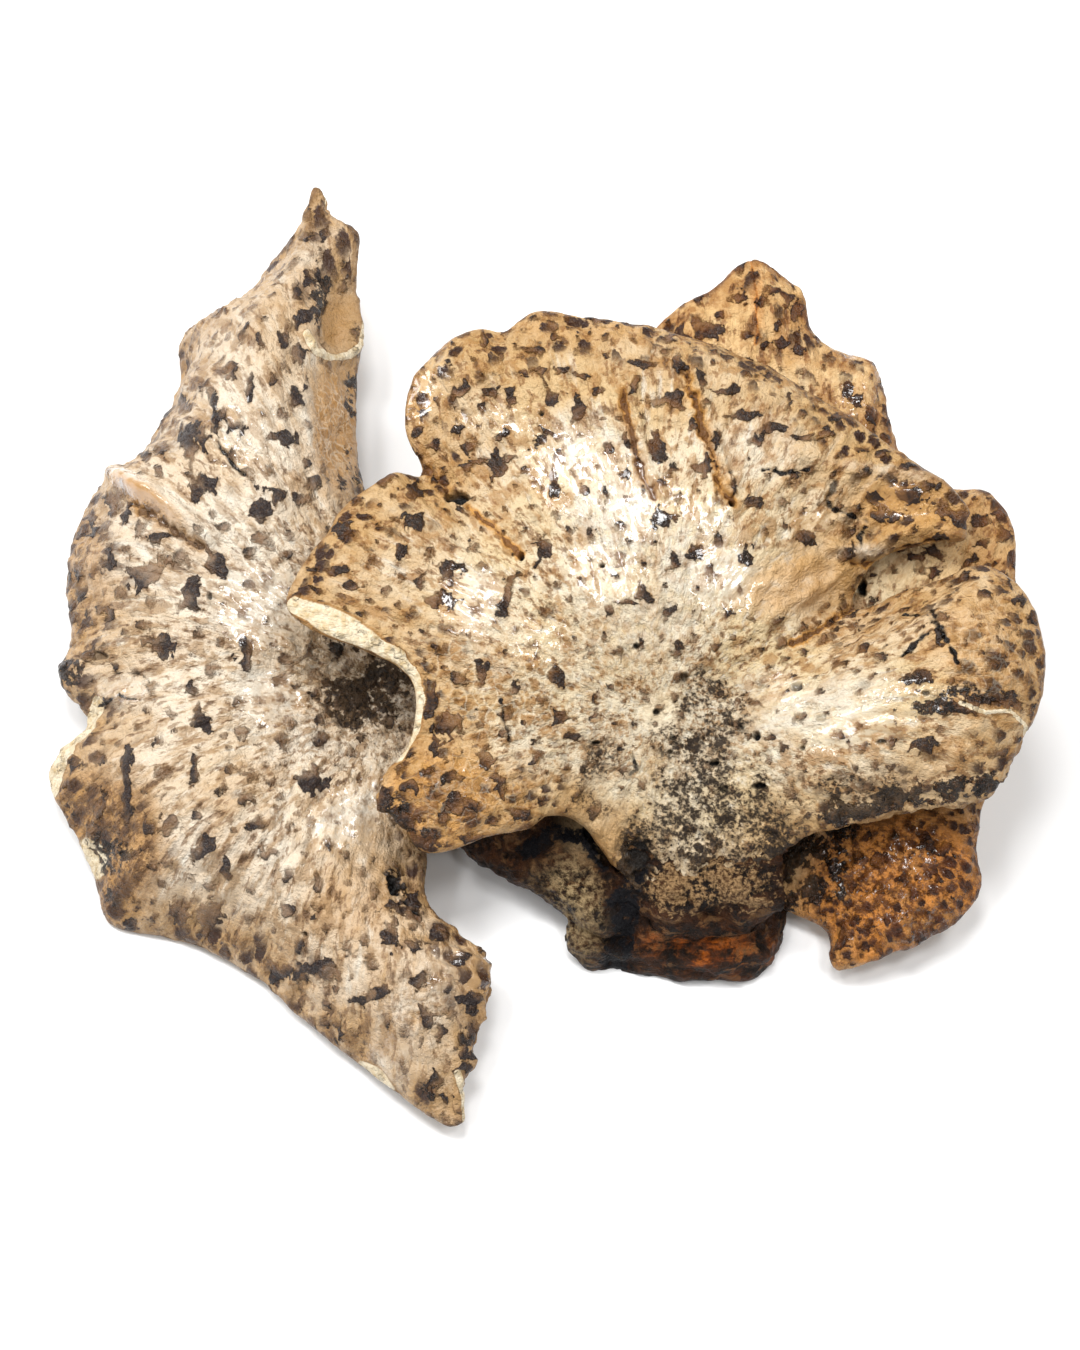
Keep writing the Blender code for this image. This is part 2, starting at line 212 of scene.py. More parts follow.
def refinedCap(node, marks):
    bm = bmesh.new()
    bm.from_mesh(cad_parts[node].data)
    bmesh.ops.remove_doubles(bm, verts=bm.verts, dist=facets["weld"])
    skin = bm.verts.layers.float.new("skin")
    start = max(bm.faces, key=lambda f: f.normal.z * f.calc_area())
    found, todo = {start}, [start]
    while todo:
        for edge in todo.pop().edges:
            if len(edge.link_faces) == 2 and edge.calc_face_angle() < math.radians(marks["fold"]):
                for face in edge.link_faces:
                    if face not in found and face.normal.z > 0.0:
                        found.add(face)
                        todo.append(face)
    for face in found:
        for vert in face.verts:
            vert[skin] = 1.0
    bmesh.ops.join_triangles(bm, faces=bm.faces, angle_face_threshold=0.35, angle_shape_threshold=0.6)
    coarse = placed(node + "_coarse", meshFrom(bm, node + "_coarse"))
    smoother = coarse.modifiers.new("Smooth skin", "SUBSURF")
    smoother.levels = smoother.render_levels = facets["levels"]
    fine = applied(coarse)
    bm = bmesh.new()
    bm.from_mesh(fine)
    skin = bm.verts.layers.float["skin"]
    edges = [e for e in bm.edges if min(v[skin] for v in e.verts) > 0.2]
    bmesh.ops.subdivide_edges(bm, edges=edges, cuts=1, use_grid_fill=True)
    # closer facets at small marks, where a hole is a path that stays at its middle
    middles = np.array([(e.verts[0].co + e.verts[1].co) / 2 for e in bm.edges])
    upper = np.array([min(v[skin] for v in e.verts) > 0.7 for e in bm.edges])
    spots = inPicture(middles)
    small = [([(across, down)] * 2, wide * 0.8) for across, down, wide, *_ in marks["holes"]]
    small += [(path, wide * 0.8) for path, wide, *_ in marks["cracks"]]
    small += [(path, wide) for path, wide in marks["fleshBands"] if wide < facets["thinBand"]]
    near = np.min([toPath(spots, path) - wide for path, wide in small], axis=0)
    bm.edges.ensure_lookup_table()
    edges = [bm.edges[i] for i in np.nonzero(upper & (near < facets["markReach"]))[0]]
    bmesh.ops.subdivide_edges(bm, edges=edges, cuts=1, use_grid_fill=True)
    # the slivers in the middle are merged and evened out
    heart = Vector(marks["heart"])

    def central(radius):
        return [v for v in bm.verts if v[skin] > 0.5 and (v.co.xy - heart).length < radius]

    bmesh.ops.remove_doubles(bm, verts=central(facets["heartReach"]), dist=facets["heartWeld"])
    verts = central(facets["evenReach"])
    for _ in range(facets["evenings"]):
        bmesh.ops.smooth_vert(bm, verts=verts, factor=0.5, use_axis_x=True, use_axis_y=True, use_axis_z=True)
    bmesh.ops.triangulate(bm, faces=[f for f in bm.faces if len(f.verts) > 4])
    bm.to_mesh(fine)
    bm.free()
    return fine


# outlines of the scales, in shares of their half size, and how their tones vary
outlines = {
    "sides": (3, 4, 4, 5),
    "turn": (-0.22, 0.22),
    "reach": (0.62, 1.0),
    "bites": 2,
    "biteAt": 1.05,
    "biteReach": (0.3, 0.6),
    "biteSteep": 1.4,
    "handSize": 0.86,  # scales listed one by one
    "handWindow": 1.6,
    "handWarp": 0.75,
    "handLean": 0.5,
    "window": 2.2,  # scattered scales
    "warp": 0.85,
    "stretch": (0.7, 1.1),
    "slim": (1.25, 0.6),  # in the middle of the cap, and added near the margin
    "lean": 0.45,
    "smaller": 1.8,  # over 1 for more small ones
}


def angular(u, v, dice):
    # 0 in the middle of a torn patch, 1 on its outline
    sides = dice.choice(outlines["sides"])
    start = dice.uniform(0, math.tau)
    q = np.zeros(len(u))
    for side in range(sides):
        angle = start + (side + dice.uniform(*outlines["turn"])) * math.tau / sides
        q = np.maximum(q, (u * math.cos(angle) + v * math.sin(angle)) / dice.uniform(*outlines["reach"]))
    for _ in range(outlines["bites"]):
        angle = dice.uniform(0, math.tau)
        bite = np.hypot(u - outlines["biteAt"] * math.cos(angle), v - outlines["biteAt"] * math.sin(angle))
        q = np.maximum(q, 1 + (dice.uniform(*outlines["biteReach"]) - bite) * outlines["biteSteep"])
    return q


def scatterScales(place, facing, skin, heart, rim, settings, spots, handPlaced, bare, dense):
    # signed depth inside the nearest scale in millimetres, and each scale's own tone
    dice = random.Random(settings["seed"])
    depth = np.full(len(place), -3.0)
    tone = np.zeros(len(place))
    warp = np.column_stack([grain(place, "scaleAcross"), grain(place, "scaleDown")])
    toEye = np.array(look["eye"]) - place
    seen = (facing * toEye).sum(1) > -0.02
    taken = []
    for across, down, wide, high, shade in handPlaced:
        offset = spots - (across, down)
        within = (np.abs(offset) < np.array((wide, high)) * outlines["handWindow"]).all(1)
        close = np.nonzero(within & seen & (skin > 0.6))[0]
        if not len(close):
            continue
        u = offset[close, 0] / (wide / 2) + warp[close, 0] * outlines["handWarp"]
        v = offset[close, 1] / (high / 2) + warp[close, 1] * outlines["handWarp"]
        q = angular(u * outlines["handSize"], v * outlines["handSize"], dice)
        inner = (1.0 - q) * min(wide, high) / 2 / look["pixels"]
        better = inner > depth[close]
        lean = dice.uniform(0, math.tau)
        shades = shade + outlines["handLean"] * (u * math.cos(lean) + v * math.sin(lean)) - 0.1
        tone[close[better]] = shades[better]
        depth[close[better]] = inner[better]
        spot = close[np.argmin(np.hypot(*offset[close].T))]
        taken.append((*place[spot], max(wide, high) / 2 / look["pixels"] * mm))
    for index in dice.sample(range(len(place)), min(len(place), settings["tries"])):
        if skin[index] < 0.8 or bare[index] > dice.random():
            continue
        middle = place[index]
        nearMargin = 1 - smooth(rim[index], 6 * mm, 30 * mm)
        least, most = settings["size" if seen[index] else "sizeBehind"]
        size = (least + (most - least) * dice.random() ** outlines["smaller"]) * mm
        crowd = max(nearMargin * settings["crowding"], dense[index] * 0.25)
        gap = settings["gap"] * mm * (1 - crowd)
        if any((middle[0] - x) ** 2 + (middle[1] - y) ** 2 + (middle[2] - z) ** 2 < (gap + r) ** 2
               for x, y, z, r in taken):
            continue
        taken.append((*middle, size * 0.5))
        radial = middle - heart
        radial -= facing[index] * (radial @ facing[index])
        radial /= np.linalg.norm(radial) + 1e-9
        sideways = np.cross(facing[index], radial)
        offset = place - middle
        close = np.nonzero((np.abs(offset).max(1) < size * outlines["window"]) & (skin > 0.5))[0]
        out = offset[close] @ radial / size + warp[close, 0] * outlines["warp"]
        side = offset[close] @ sideways / size + warp[close, 1] * outlines["warp"]
        slim = (outlines["slim"][0] + outlines["slim"][1] * nearMargin) ** 0.5
        wide, high = dice.uniform(*outlines["stretch"]), dice.uniform(*outlines["stretch"])
        q = angular(out * wide / slim, side * high * slim, dice)
        inner = (1.0 - q) * size / mm * 0.5
        shade = dice.uniform(*settings["tones"])
        better = inner > depth[close]
        tone[close[better]] = (shade + outlines["lean"] * out)[better]
        depth[close[better]] = inner[better]
    return depth, np.clip(tone, 0, 1)


# heights in the skin in millimetres
heights = {
    "wander": 0.8,
    "lumps": 0.85,
    "fineLumps": 0.7,
    "creases": 0.55,
    "folds": 0.6,
    "scales": 0.5,
    "ripples": 1.5,
    "margin": 0.7,
    "torn": 2.6,
    "holeEdge": 0.2,
    "crackEdge": 0.35,
    "clods": 1.5,
    "pits": 0.9,
    "crumbs": 0.5,
    "cells": 0.45,
}
# the pale, smear and gritty zones also hold painted light and painted shade in places
seenZones = ("bare", "dense", "paleAndPaintedLight", "varnish", "ripples", "grittyAndShade", "network", "smearAndShade", "orange", "flesh")


def dressedCap(node, marks, material):
    fine = refinedCap(node, marks)
    place, facing = readMesh(fine)
    skin = np.zeros(len(place))
    fine.attributes["skin"].data.foreach_get("value", skin)
    spots = inPicture(place)
    shake = shaken(place)
    seen = smooth(turnedToEye(place, facing), -0.05, 0.15) * smooth(skin, 0.4, 0.75)
    top = smooth(skin, 0.45, 0.8)
    zone = {name: blobs(spots, marks[name]) * seen for name in seenZones}

    onRim = np.nonzero((skin > 0.3) & (skin < 0.7))[0]
    tree = kdtree.KDTree(len(onRim))
    for index in onRim:
        tree.insert(place[index], int(index))
    tree.balance()
    rim = np.array([tree.find(p)[2] for p in place])
    sideways = np.hypot(*(place[:, :2] - marks["heart"]).T)
    heart = np.array([*marks["heart"], place[np.argmin(sideways + (top < 0.5)), 2]])
    radial = place - heart
    far = np.linalg.norm(radial, axis=1)
    reach = far / (far + rim)
    turn = np.arctan2(radial[:, 1], radial[:, 0])
    sparse = np.maximum(zone["bare"], zone["paleAndPaintedLight"] * 0.75)
    depth, tone = scatterScales(
        place, facing, skin, heart, rim, marks["scales"], spots, marks["big"], sparse, zone["dense"]
    )

    # two maps of the skin that spread from the heart
    ring = np.column_stack([np.cos(turn), np.sin(turn)])
    power = marks["fan"]
    spread = 0.1 * ((1 + far / (10 * mm)) ** power - 1) / (11**power - 1)
    fan = np.column_stack([ring * spread[:, None], marks["rimTurn"] * np.exp(-rim / (14 * mm))])
    spread = 0.105 * (1 - np.exp(-far / (35 * mm)))
    rays = np.column_stack([ring * spread[:, None], far * 0.12])

    # relief in millimetres
    opened, settled = smooth(far, 6 * mm, 26 * mm), smooth(far, 1.5 * mm, 11 * mm)
    nearMargin, inward = 1 - smooth(rim, 3 * mm, 24 * mm), smooth(rim, 0.5 * mm, 7 * mm)
    wander = grain(place, "wander")
    lumps = grain(fan, "lumps") * opened * (1 - 0.4 * np.clip(zone["varnish"], 0, 1))
    fineLumps = grain(place, "fineLumps") * settled * (1 - 0.75 * np.clip(zone["varnish"] * 1.3, 0, 1))
    creases = (1 - np.abs(grain(fan, "creases")) * 3) * opened
    folds = grain(rays, "folds") * (1 + nearMargin) * smooth(far, 12 * mm, 50 * mm)
    lift = heights["lumps"] * lumps + heights["fineLumps"] * fineLumps
    lift = (heights["wander"] * wander + lift * (0.25 + 0.75 * inward)) * (0.5 + 0.5 * top)
    lift -= heights["creases"] * np.clip(creases, 0, 1) ** 2 * top * (0.5 + wander) * inward
    lift += heights["folds"] * folds * top * inward
    lift *= marks["relief"]
    proud = (0.35 + 0.65 * smooth(rim, 0, 6 * mm)) * (0.2 + 0.8 * smooth(tone, 0.25, 0.75))
    lift += heights["scales"] * smooth(depth, -0.15, 0.35) * top * proud
    arcs = np.column_stack([ring * (far * 0.3)[:, None], far])
    lift += heights["ripples"] * (0.45 - np.abs(grain(arcs, "ripples"))) * zone["ripples"] * inward
    lift -= heights["margin"] * (1 - smooth(rim, 0, 2.6 * mm)) * (0.4 + 0.8 * grain(place, "margin"))
    torn = blobs(spots, marks["torn"]) * (1 - smooth(rim, 0.5 * mm, 4 * mm))
    lift += torn * (heights["torn"] * grain(place, "torn") - 0.6)

    # painted shade: the holes and the cores of cracks are painted near black
    recessShade, amber, core, crackCoreShade = np.zeros((4, len(place)))
    holeEdge, crackEdge = 0.45 * grain(place, "holeEdge"), 0.4 * grain(place, "crackEdge")
    for across, down, wide, high, sink in marks["holes"]:
        q = np.hypot((spots[:, 0] - across) / (wide / 2), (spots[:, 1] - down) / (high / 2)) + holeEdge
        lift += (heights["holeEdge"] * smooth(q, 1.9, 1.2) - sink * smooth(q, 1.15, 0.55)) * seen
        recessShade = np.maximum(recessShade, smooth(q, 1.15, 0.6) * seen * min(1, sink / 2.6))
    for path, wide, sink, colour in marks["cracks"]:
        off = toPath(spots + shake, path) / wide + crackEdge
        lift += (heights["crackEdge"] * smooth(off, 2.2, 0.8) - sink * smooth(off, 0.5, 0)) * seen
        recessShade = np.maximum(recessShade, smooth(off, 0.34, 0.05) * seen * (1 - colour))
        amber = np.maximum(amber, smooth(off, 1.0, 0.2) * seen * colour)
        core = np.maximum(core, smooth(off, 0.36, 0.12) * seen * (colour > 0.5))
        # a dark line of painted shade along the middle of each crack
        crackCoreShade = np.maximum(crackCoreShade, smooth(off, 0.32, 0.1) * seen * (1 - 0.9 * colour))
    for path, wide, rise in marks["ridges"]:
        lift += rise * np.exp(-((toPath(spots + shake, path) / wide) ** 2)) * seen
    for *blob, rise in marks["bumps"]:
        lift += rise * blobs(spots, [(*blob, 1.0)]) * seen
    rough = bands(spots + shake * 2.4, marks["smearBands"], 1.2, 0.4) * seen
    lift += rough * (heights["clods"] * grain(place, "clods") + 0.1)
    orange = np.maximum(zone["orange"], amber) + 1.5 * core
    smearAndShade = np.maximum(np.maximum(zone["smearAndShade"], crackCoreShade * 0.8), rough * 1.02)
    flesh = np.maximum(zone["flesh"], bands(spots + shake * 0.7, marks["fleshBands"], 1.0, 0.6) * seen)

    for across, down, wide, right, up, pinch in marks["pulls"]:
        near = np.exp(-(((spots - (across, down)) ** 2).sum(1)) / wide**2) * top
        aside = right - pinch * (spots[:, 0] - across) / 3
        move = np.column_stack([aside, np.full(len(place), up), np.zeros(len(place))])
        place = place + move * (near * mm)[:, None]
    pits = np.array([noise.voronoi(Vector(p) / (2.6 * mm))[0][0] for p in place])
    cells = np.array([noise.voronoi(Vector(p) / (4.5 * mm))[0][:2] for p in place])
    crumbs = heights["crumbs"] * grain(place, "crumbs") - heights["pits"] * smooth(pits, 0.36, 0.1)
    lift += zone["grittyAndShade"] * crumbs * settled
    lift -= zone["network"] * heights["cells"] * smooth(cells[:, 1] - cells[:, 0], 0.0, 0.35)

    store(fine, {
        "fan": fan,
        "rays": rays,
        "reach": reach,
        "rim": rim / mm,
        "flake": depth,
        "flakeTone": tone,
        "recessShade": recessShade,
        "varnish": zone["varnish"],
        "wearShadeAndLight": np.column_stack([zone["grittyAndShade"], zone["network"], zone["paleAndPaintedLight"], smearAndShade]),
        "hue": np.column_stack([orange, flesh, zone["dense"], zone["bare"]]),
    })
    piece = finishedPiece(node + "_skin", fine, place + facing * (lift * mm)[:, None], material)
    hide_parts(node)
    return piece


# shader maths as plain expressions
class Wire:
    def __init__(self, graph, end):
        self.graph, self.end = graph, end

    def maths(self, kind, first, second):
        return self.graph.make("ShaderNodeMath", {"operation": kind}, {0: first, 1: second}).out(0)

    def __add__(self, other):
        return self.maths("ADD", self, other)

    __radd__ = __add__

    def __sub__(self, other):
        return self.maths("SUBTRACT", self, other)

    def __rsub__(self, other):
        return self.maths("SUBTRACT", other, self)

    def __mul__(self, other):
        return self.maths("MULTIPLY", self, other)

    __rmul__ = __mul__

    def most(self, other):
        return self.maths("MAXIMUM", self, other)

    def over(self, low, high):
        # rises smoothly from 0 at low to 1 at high, or falls where low is the greater number
        values = {"Value": self, "From Min": low, "From Max": high}
        if isinstance(low, (int, float)) and isinstance(high, (int, float)) and low > high:
            values |= {"From Min": high, "From Max": low, "To Min": 1.0, "To Max": 0.0}
        made = self.graph.make("ShaderNodeMapRange", {"interpolation_type": "SMOOTHSTEP"}, values)
        return made.out("Result")


class Made:
    def __init__(self, graph, node):
        self.graph, self.node = graph, node

    def out(self, name):
        return Wire(self.graph, self.node.outputs[name])


class Graph:
    def __init__(self, name, tones):
        self.tones = tones
        self.material = bpy.data.materials.new(name)
        self.material.use_nodes = True
        self.tree = self.material.node_tree
        self.shader = self.tree.nodes["Principled BSDF"]

    def make(self, kind, settings, values):
        node = self.tree.nodes.new(kind)
        for name, value in settings.items():
            setattr(node, name, value)
        for name, value in values.items():
            self.plug(node.inputs[name], value)
        return Made(self, node)

    def plug(self, socket, value):
        if isinstance(value, Wire):
            self.tree.links.new(value.end, socket)
        else:
            socket.default_value = tint(*self.tones[value]) if isinstance(value, str) else value

    def finish(self, **values):
        for name, value in values.items():
            self.plug(self.shader.inputs[name.replace("_", " ")], value)
        return self.material

    def attribute(self, name, part="Fac"):
        return self.make("ShaderNodeAttribute", {"attribute_name": name}, {}).out(part)

    def split(self, name):
        node = self.make("ShaderNodeAttribute", {"attribute_name": name}, {})
        parts = self.make("ShaderNodeSeparateColor", {}, {"Color": node.out("Color")})
        return parts.out("Red"), parts.out("Green"), parts.out("Blue"), node.out("Alpha")

    def noises(self, at, rows):
        # rows of size, detail, roughness, warp
        found = []
        for size, detail, rough, warp in rows:
            values = {"Vector": at, "Scale": 1 / size, "Detail": detail}
            values |= {"Roughness": rough, "Distortion": warp}
            found.append(self.make("ShaderNodeTexNoise", {}, values).out("Fac"))
        return found

    def cells(self, at, size, feature="F1"):
        return self.make("ShaderNodeTexVoronoi", {"feature": feature}, {"Vector": at, "Scale": 1 / size})

    def mix(self, share, first, second):
        settings = {"data_type": "RGBA", "clamp_factor": True}
        return self.make("ShaderNodeMix", settings, {0: share, 6: first, 7: second}).out(2)

    def layered(self, colour, rows):
        # rows of share, tone, from the lowest layer to the highest
        for share, tone in rows:
            colour = self.mix(share, colour, tone)
        return colour

    def vector(self, kind, *values, part="Vector"):
        return self.make("ShaderNodeVectorMath", {"operation": kind}, dict(enumerate(values))).out(part)

    def warped(self, at, size, reach):
        shake = self.make("ShaderNodeTexNoise", {}, {"Vector": at, "Scale": 1 / size, "Detail": 2.0})
        return self.vector("MULTIPLY_ADD", shake.out("Color"), (reach, reach, reach), at)

    def bump(self, height, distance):
        return self.make("ShaderNodeBump", {}, {"Height": height, "Distance": distance}).out("Normal")


# size, detail, roughness and warp of each noise, and the other sizes in a skin
skinGrains = {
    "place": [(40 * mm, 3, 0.55, 0), (12 * mm, 4, 0.6, 0), (3.6 * mm, 4, 0.65, 0), (1.2 * mm, 3, 0.6, 0)],
    "fan": [(5.6 * mm, 3, 0.6, 0.4), (3 * mm, 3, 0.6, 0.3)],
    "rays": [(3.4 * mm, 4, 0.62, 0.2)],
    "row": 4.9 * mm,
    "rowSide": 190,
    "rowWarps": [(4.5 * mm, 2.6 * mm), (1.5 * mm, 1.3 * mm)],
    "net": 4 * mm,
    "netWarp": (4 * mm, 4.2 * mm),
    "pore": 1.1 * mm,
    "bump": 2.1 * mm,
}


def skinMaterial(name, tones):
    g = Graph(name, tones)
    at = g.make("ShaderNodeTexCoord", {}, {}).out("Object")
    fan, rays = g.attribute("fan", "Vector"), g.attribute("rays", "Vector")
    reach, rim = g.attribute("reach"), g.attribute("rim")
    skin, flake, flakeTone = g.attribute("skin"), g.attribute("flake"), g.attribute("flakeTone")
    recessShade, varnish = g.attribute("recessShade"), g.attribute("varnish")
    # the wear layer carries grit, net, pale patches and smears, which in places are painted shade and painted
    # light
    grittyAndShade, network, paleAndPaintedLight, smearAndShade = g.split("wearShadeAndLight")
    orange, flesh, dense, bare = g.split("hue")
    broad, middle, small, speck = g.noises(at, skinGrains["place"])
    mottle, fleck = g.noises(fan, skinGrains["fan"])
    (streak,) = g.noises(rays, skinGrains["rays"])
    marginal = rim.over(30.0, 4.0)
    crowded = (marginal + dense * 0.8).most(0)
    beyond = reach.over(0.06, 0.2)

    # the ground, with mottles and flecks
    warm = (orange * (0.45 + 0.8 * middle + 0.3 * small)).over(0.05, 0.95)
    calm = (1 - 0.95 * bare).most(0) * (1 - 0.45 * paleAndPaintedLight) * beyond
    mottled = mottle + (small - 0.5) * 0.35 - crowded * 0.02
    flecked = fleck + (middle - 0.5) * 0.3 + (speck - 0.5) * 0.15 - crowded * 0.01 - bare * 0.1
    darkFlecks = flecked.over(0.64, 0.70) * calm
    colour = g.layered("cream", [
        (broad.over(0.35, 0.65), "sand"),
        (reach.over(0.55, 1.0) * tones["marginTan"] * (0.4 + 1.2 * middle), "tan"),
        (warm * 0.9, "amber"),
        (streak.over(0.47, 0.3) * (1 - marginal) * (1 - warm) * 0.7 * beyond, "bone"),
        (paleAndPaintedLight * (small + mottle * 0.4).over(0.4, 0.8), "bone"),
        (middle.over(0.45, 0.72) * 0.5, "tan"),
        (marginal * (middle + small * 0.4).over(0.5, 0.85) * 0.65, "streak"),
        (streak.over(0.52, 0.68) * 0.45 * beyond, "streak"),
        (mottled.over(0.49, 0.62) * 0.7 * calm, "mottle"),
        (flecked.over(0.535, 0.61) * 0.68 * calm, "fleck"),
        (darkFlecks * 0.65, "fleckDark"),
    ])

    # scales in rows, dark and sharp on their outer side and fading inwards
    bent = fan
    for size, shift in skinGrains["rowWarps"]:
        bent = g.warped(bent, size, shift)
    row = g.cells(bent, skinGrains["row"])
    offset = g.vector("SUBTRACT", bent, row.out("Position"))
    outer = g.vector("DOT_PRODUCT", offset, g.vector("NORMALIZE", fan), part="Value")
    chance = g.make("ShaderNodeSeparateColor", {}, {"Color": row.out("Color")}).out("Red")
    side = outer * skinGrains["rowSide"] + (small - 0.5) * 0.5
    darts = (row.out("Distance") + (small - 0.5) * 0.6 + (speck - 0.5) * 0.3 - side * 0.14).over(0.56, 0.34)
    darts = darts * side.over(-0.5, 0.25)
    darts = darts * (chance + crowded * 0.52 + (middle - 0.5) * 0.8).over(0.60, 0.86) * calm
    shade = (side + (chance - 0.5) * 0.5 + crowded * 0.2).over(-0.2, 0.3)
    baked = (dense * orange).over(0, 1.2)
    baked = baked * (streak * 0.55 + small * 0.45 + (speck - 0.5) * 0.3).over(0.44, 0.56)
    # a net of pale threads over tan cells
    net = g.cells(g.warped(at, *skinGrains["netWarp"]), skinGrains["net"], "DISTANCE_TO_EDGE").out("Distance")
    net = net + (small - 0.5) * 0.16
    netted = network * (middle + small * 0.5).over(0.45, 0.85)
    # the large scales
    ragged = flake + (small - 0.5) * 1.7 + (speck - 0.5) * 1.1
    faint = (tones["faint"] - flakeTone).most(0)
    scaleMask = ragged.over(-0.08 - faint * 0.8, 0.16 + faint * 0.6)
    inside = flakeTone + (small - 0.5) * 1.0 + (middle - 0.5) * 0.4
    scaleColour = g.layered("scaleLight", [
        (inside.over(0.1, 0.75), "scaleDark"),
        (inside.over(0.12, -0.35) * 0.75, "mottle"),
        (speck.over(0.5, 0.7) * 0.3, "fleck"),
        (ragged.over(-0.03, 0.1) * ragged.over(0.42, 0.2) * 0.3 * inside.over(0.1, 0.6), "dirtAndShade"),
    ])
    # bare flesh, dirt with painted shade, and near-black painted shade in holes and cracks
    peeled = flesh + (small - 0.5) * 0.5
    # the smears are dark dirt, and in places they are painted shade under the main cap and on a steep wall
    dirtAndShade = (smearAndShade * 0.6 + (middle - 0.5) * 2.4 + (small - 0.5) * 2.0).over(0.3, 0.46) * smearAndShade.over(0.05, 0.35)
    earthAndShade = g.mix((speck * 0.5 + small * 0.5).over(0.5, 0.62) * 0.5, "dirtAndShade", "scaleLight")
    crumb = small * 0.8 + speck * 0.5 + middle * 0.3
    # soot follows the gritty zones; on the left cap it is painted shade in the hollow under the main cap
    sootAndShade = (small * 0.5 + speck * 0.7 + middle * 0.7 + grittyAndShade * 0.2).over(1.06, 1.24) * grittyAndShade.over(0.05, 0.5)
    colour = g.layered(colour, [
        ((darts * (0.36 + 0.62 * crowded)).over(0, 1), g.mix(shade, "fleck", "dart")),
        ((baked * 0.85).most(orange.over(1.5, 2.1) * 0.8), "baked"),
        (rim.over(5.0, 0.8) * (middle + small * 0.4).over(0.5, 0.85) * 0.6, "fleck"),
        (netted * net.over(0.04, 0.26) * 0.7, "netCell"),
        (netted * net.over(0.11, 0.03) * 0.5, "cream"),
        (ragged.over(-0.8, 0.0) * 0.3, "fleck"),
        (scaleMask * (0.97 - faint * 0.42), scaleColour),
        (peeled.over(0.05, 0.25) * peeled.over(0.6, 0.4) * 0.75, "mottle"),
        (peeled.over(0.3, 0.5), g.mix(small.over(0.35, 0.7), "flesh", "fleshShade")),
        (dirtAndShade * 0.97, g.mix(small.over(0.58, 0.72) * 0.2, earthAndShade, "grit")),
        (grittyAndShade * crumb.over(0.6, 0.95) * 0.85, "grit"),
        (grittyAndShade * crumb.over(0.7, 0.55) * 0.35, "bone"),
        (sootAndShade * 0.9, "dirtAndShade"),
        # near-black painted shade inside holes and along crack cores
        (recessShade, "recessShadow"),
    ])

    # pores below
    pore = g.cells(at, skinGrains["pore"]).out("Distance")
    below = g.layered("pore", [
        (pore.over(0.2, 0.6), "poreWall"),
        ((broad * 0.6 + middle * 0.4).over(0.4, 0.62) * 0.6, "tan"),
        ((streak * 0.6 + small * 0.4).over(0.53, 0.68) * 0.45, "fleck"),
        ((middle + small * 0.4).over(0.84, 0.98) * 0.6, "scaleLight"),
        (rim.over(9.0, 1.0) * (0.3 + 0.6 * middle), "streak"),
    ])
    topMask = (skin + (small - 0.5) * 0.35).over(0.3, 0.55)

    wet = varnish + (small - 0.5) * 1.3 + (speck - 0.5) * 1.3 + (middle - 0.5) * 0.9
    wet = wet.over(0.32, 0.5) * varnish.over(0.02, 0.3)
    rough = 0.19 + 0.24 * small + 0.12 * broad + 0.3 * grittyAndShade + 0.15 * flesh - 0.14 * dirtAndShade - 0.08 * scaleMask
    rough = rough * (1 - 0.7 * wet)
    height = small * 0.9 + speck * 0.35 + (mottle * 0.6 + streak * 0.8 - 0.7) * beyond + scaleMask * 0.5
    height = (height - darkFlecks * 0.15 - sootAndShade * 0.3 - 0.6) * topMask * (1 - 0.7 * wet)
    return g.finish(
        Base_Color=g.mix(topMask, below, colour),
        Roughness=rough * topMask + 0.62 * (1 - topMask),
        Specular_IOR_Level=tones["shine"],
        Coat_Weight=wet * topMask,
        Coat_Roughness=0.08,
        Normal=g.bump(height + pore * 0.5 * (1 - topMask), skinGrains["bump"]),
    )


# Finishes and marks of the main cap. Places and widths of marks are in pixels of the picture.
# Depths, rises and the sizes of the scattered scales are in millimetres.
tones = {  # red, green and blue from 0 to 255, and shares
    "cream": (219, 205, 178),
    "sand": (208, 185, 143),
    "tan": (186, 146, 92),
    "bone": (216, 209, 194),
    "marginTan": 0.8,
    "streak": (170, 132, 82),
    "mottle": (156, 112, 58),
    "fleck": (124, 82, 38),
    "fleckDark": (78, 50, 26),
    "baked": (100, 58, 22),
    "dart": (50, 27, 13),
    "netCell": (152, 110, 60),
    "amber": (194, 137, 60),
    "scaleLight": (98, 64, 38),
    "scaleDark": (28, 16, 14),
    "flesh": (228, 214, 186),
    "fleshShade": (196, 170, 126),
    "faint": 0.5,
    # dirt colour, also used for painted shade
    "dirtAndShade": (20, 13, 9),
    "grit": (122, 94, 62),
    # near-black painted shade inside holes and cracks
    "recessShadow": (8, 5, 3),
    "pore": (130, 96, 58),
    "poreWall": (190, 162, 118),
    "shine": 0.32,
}

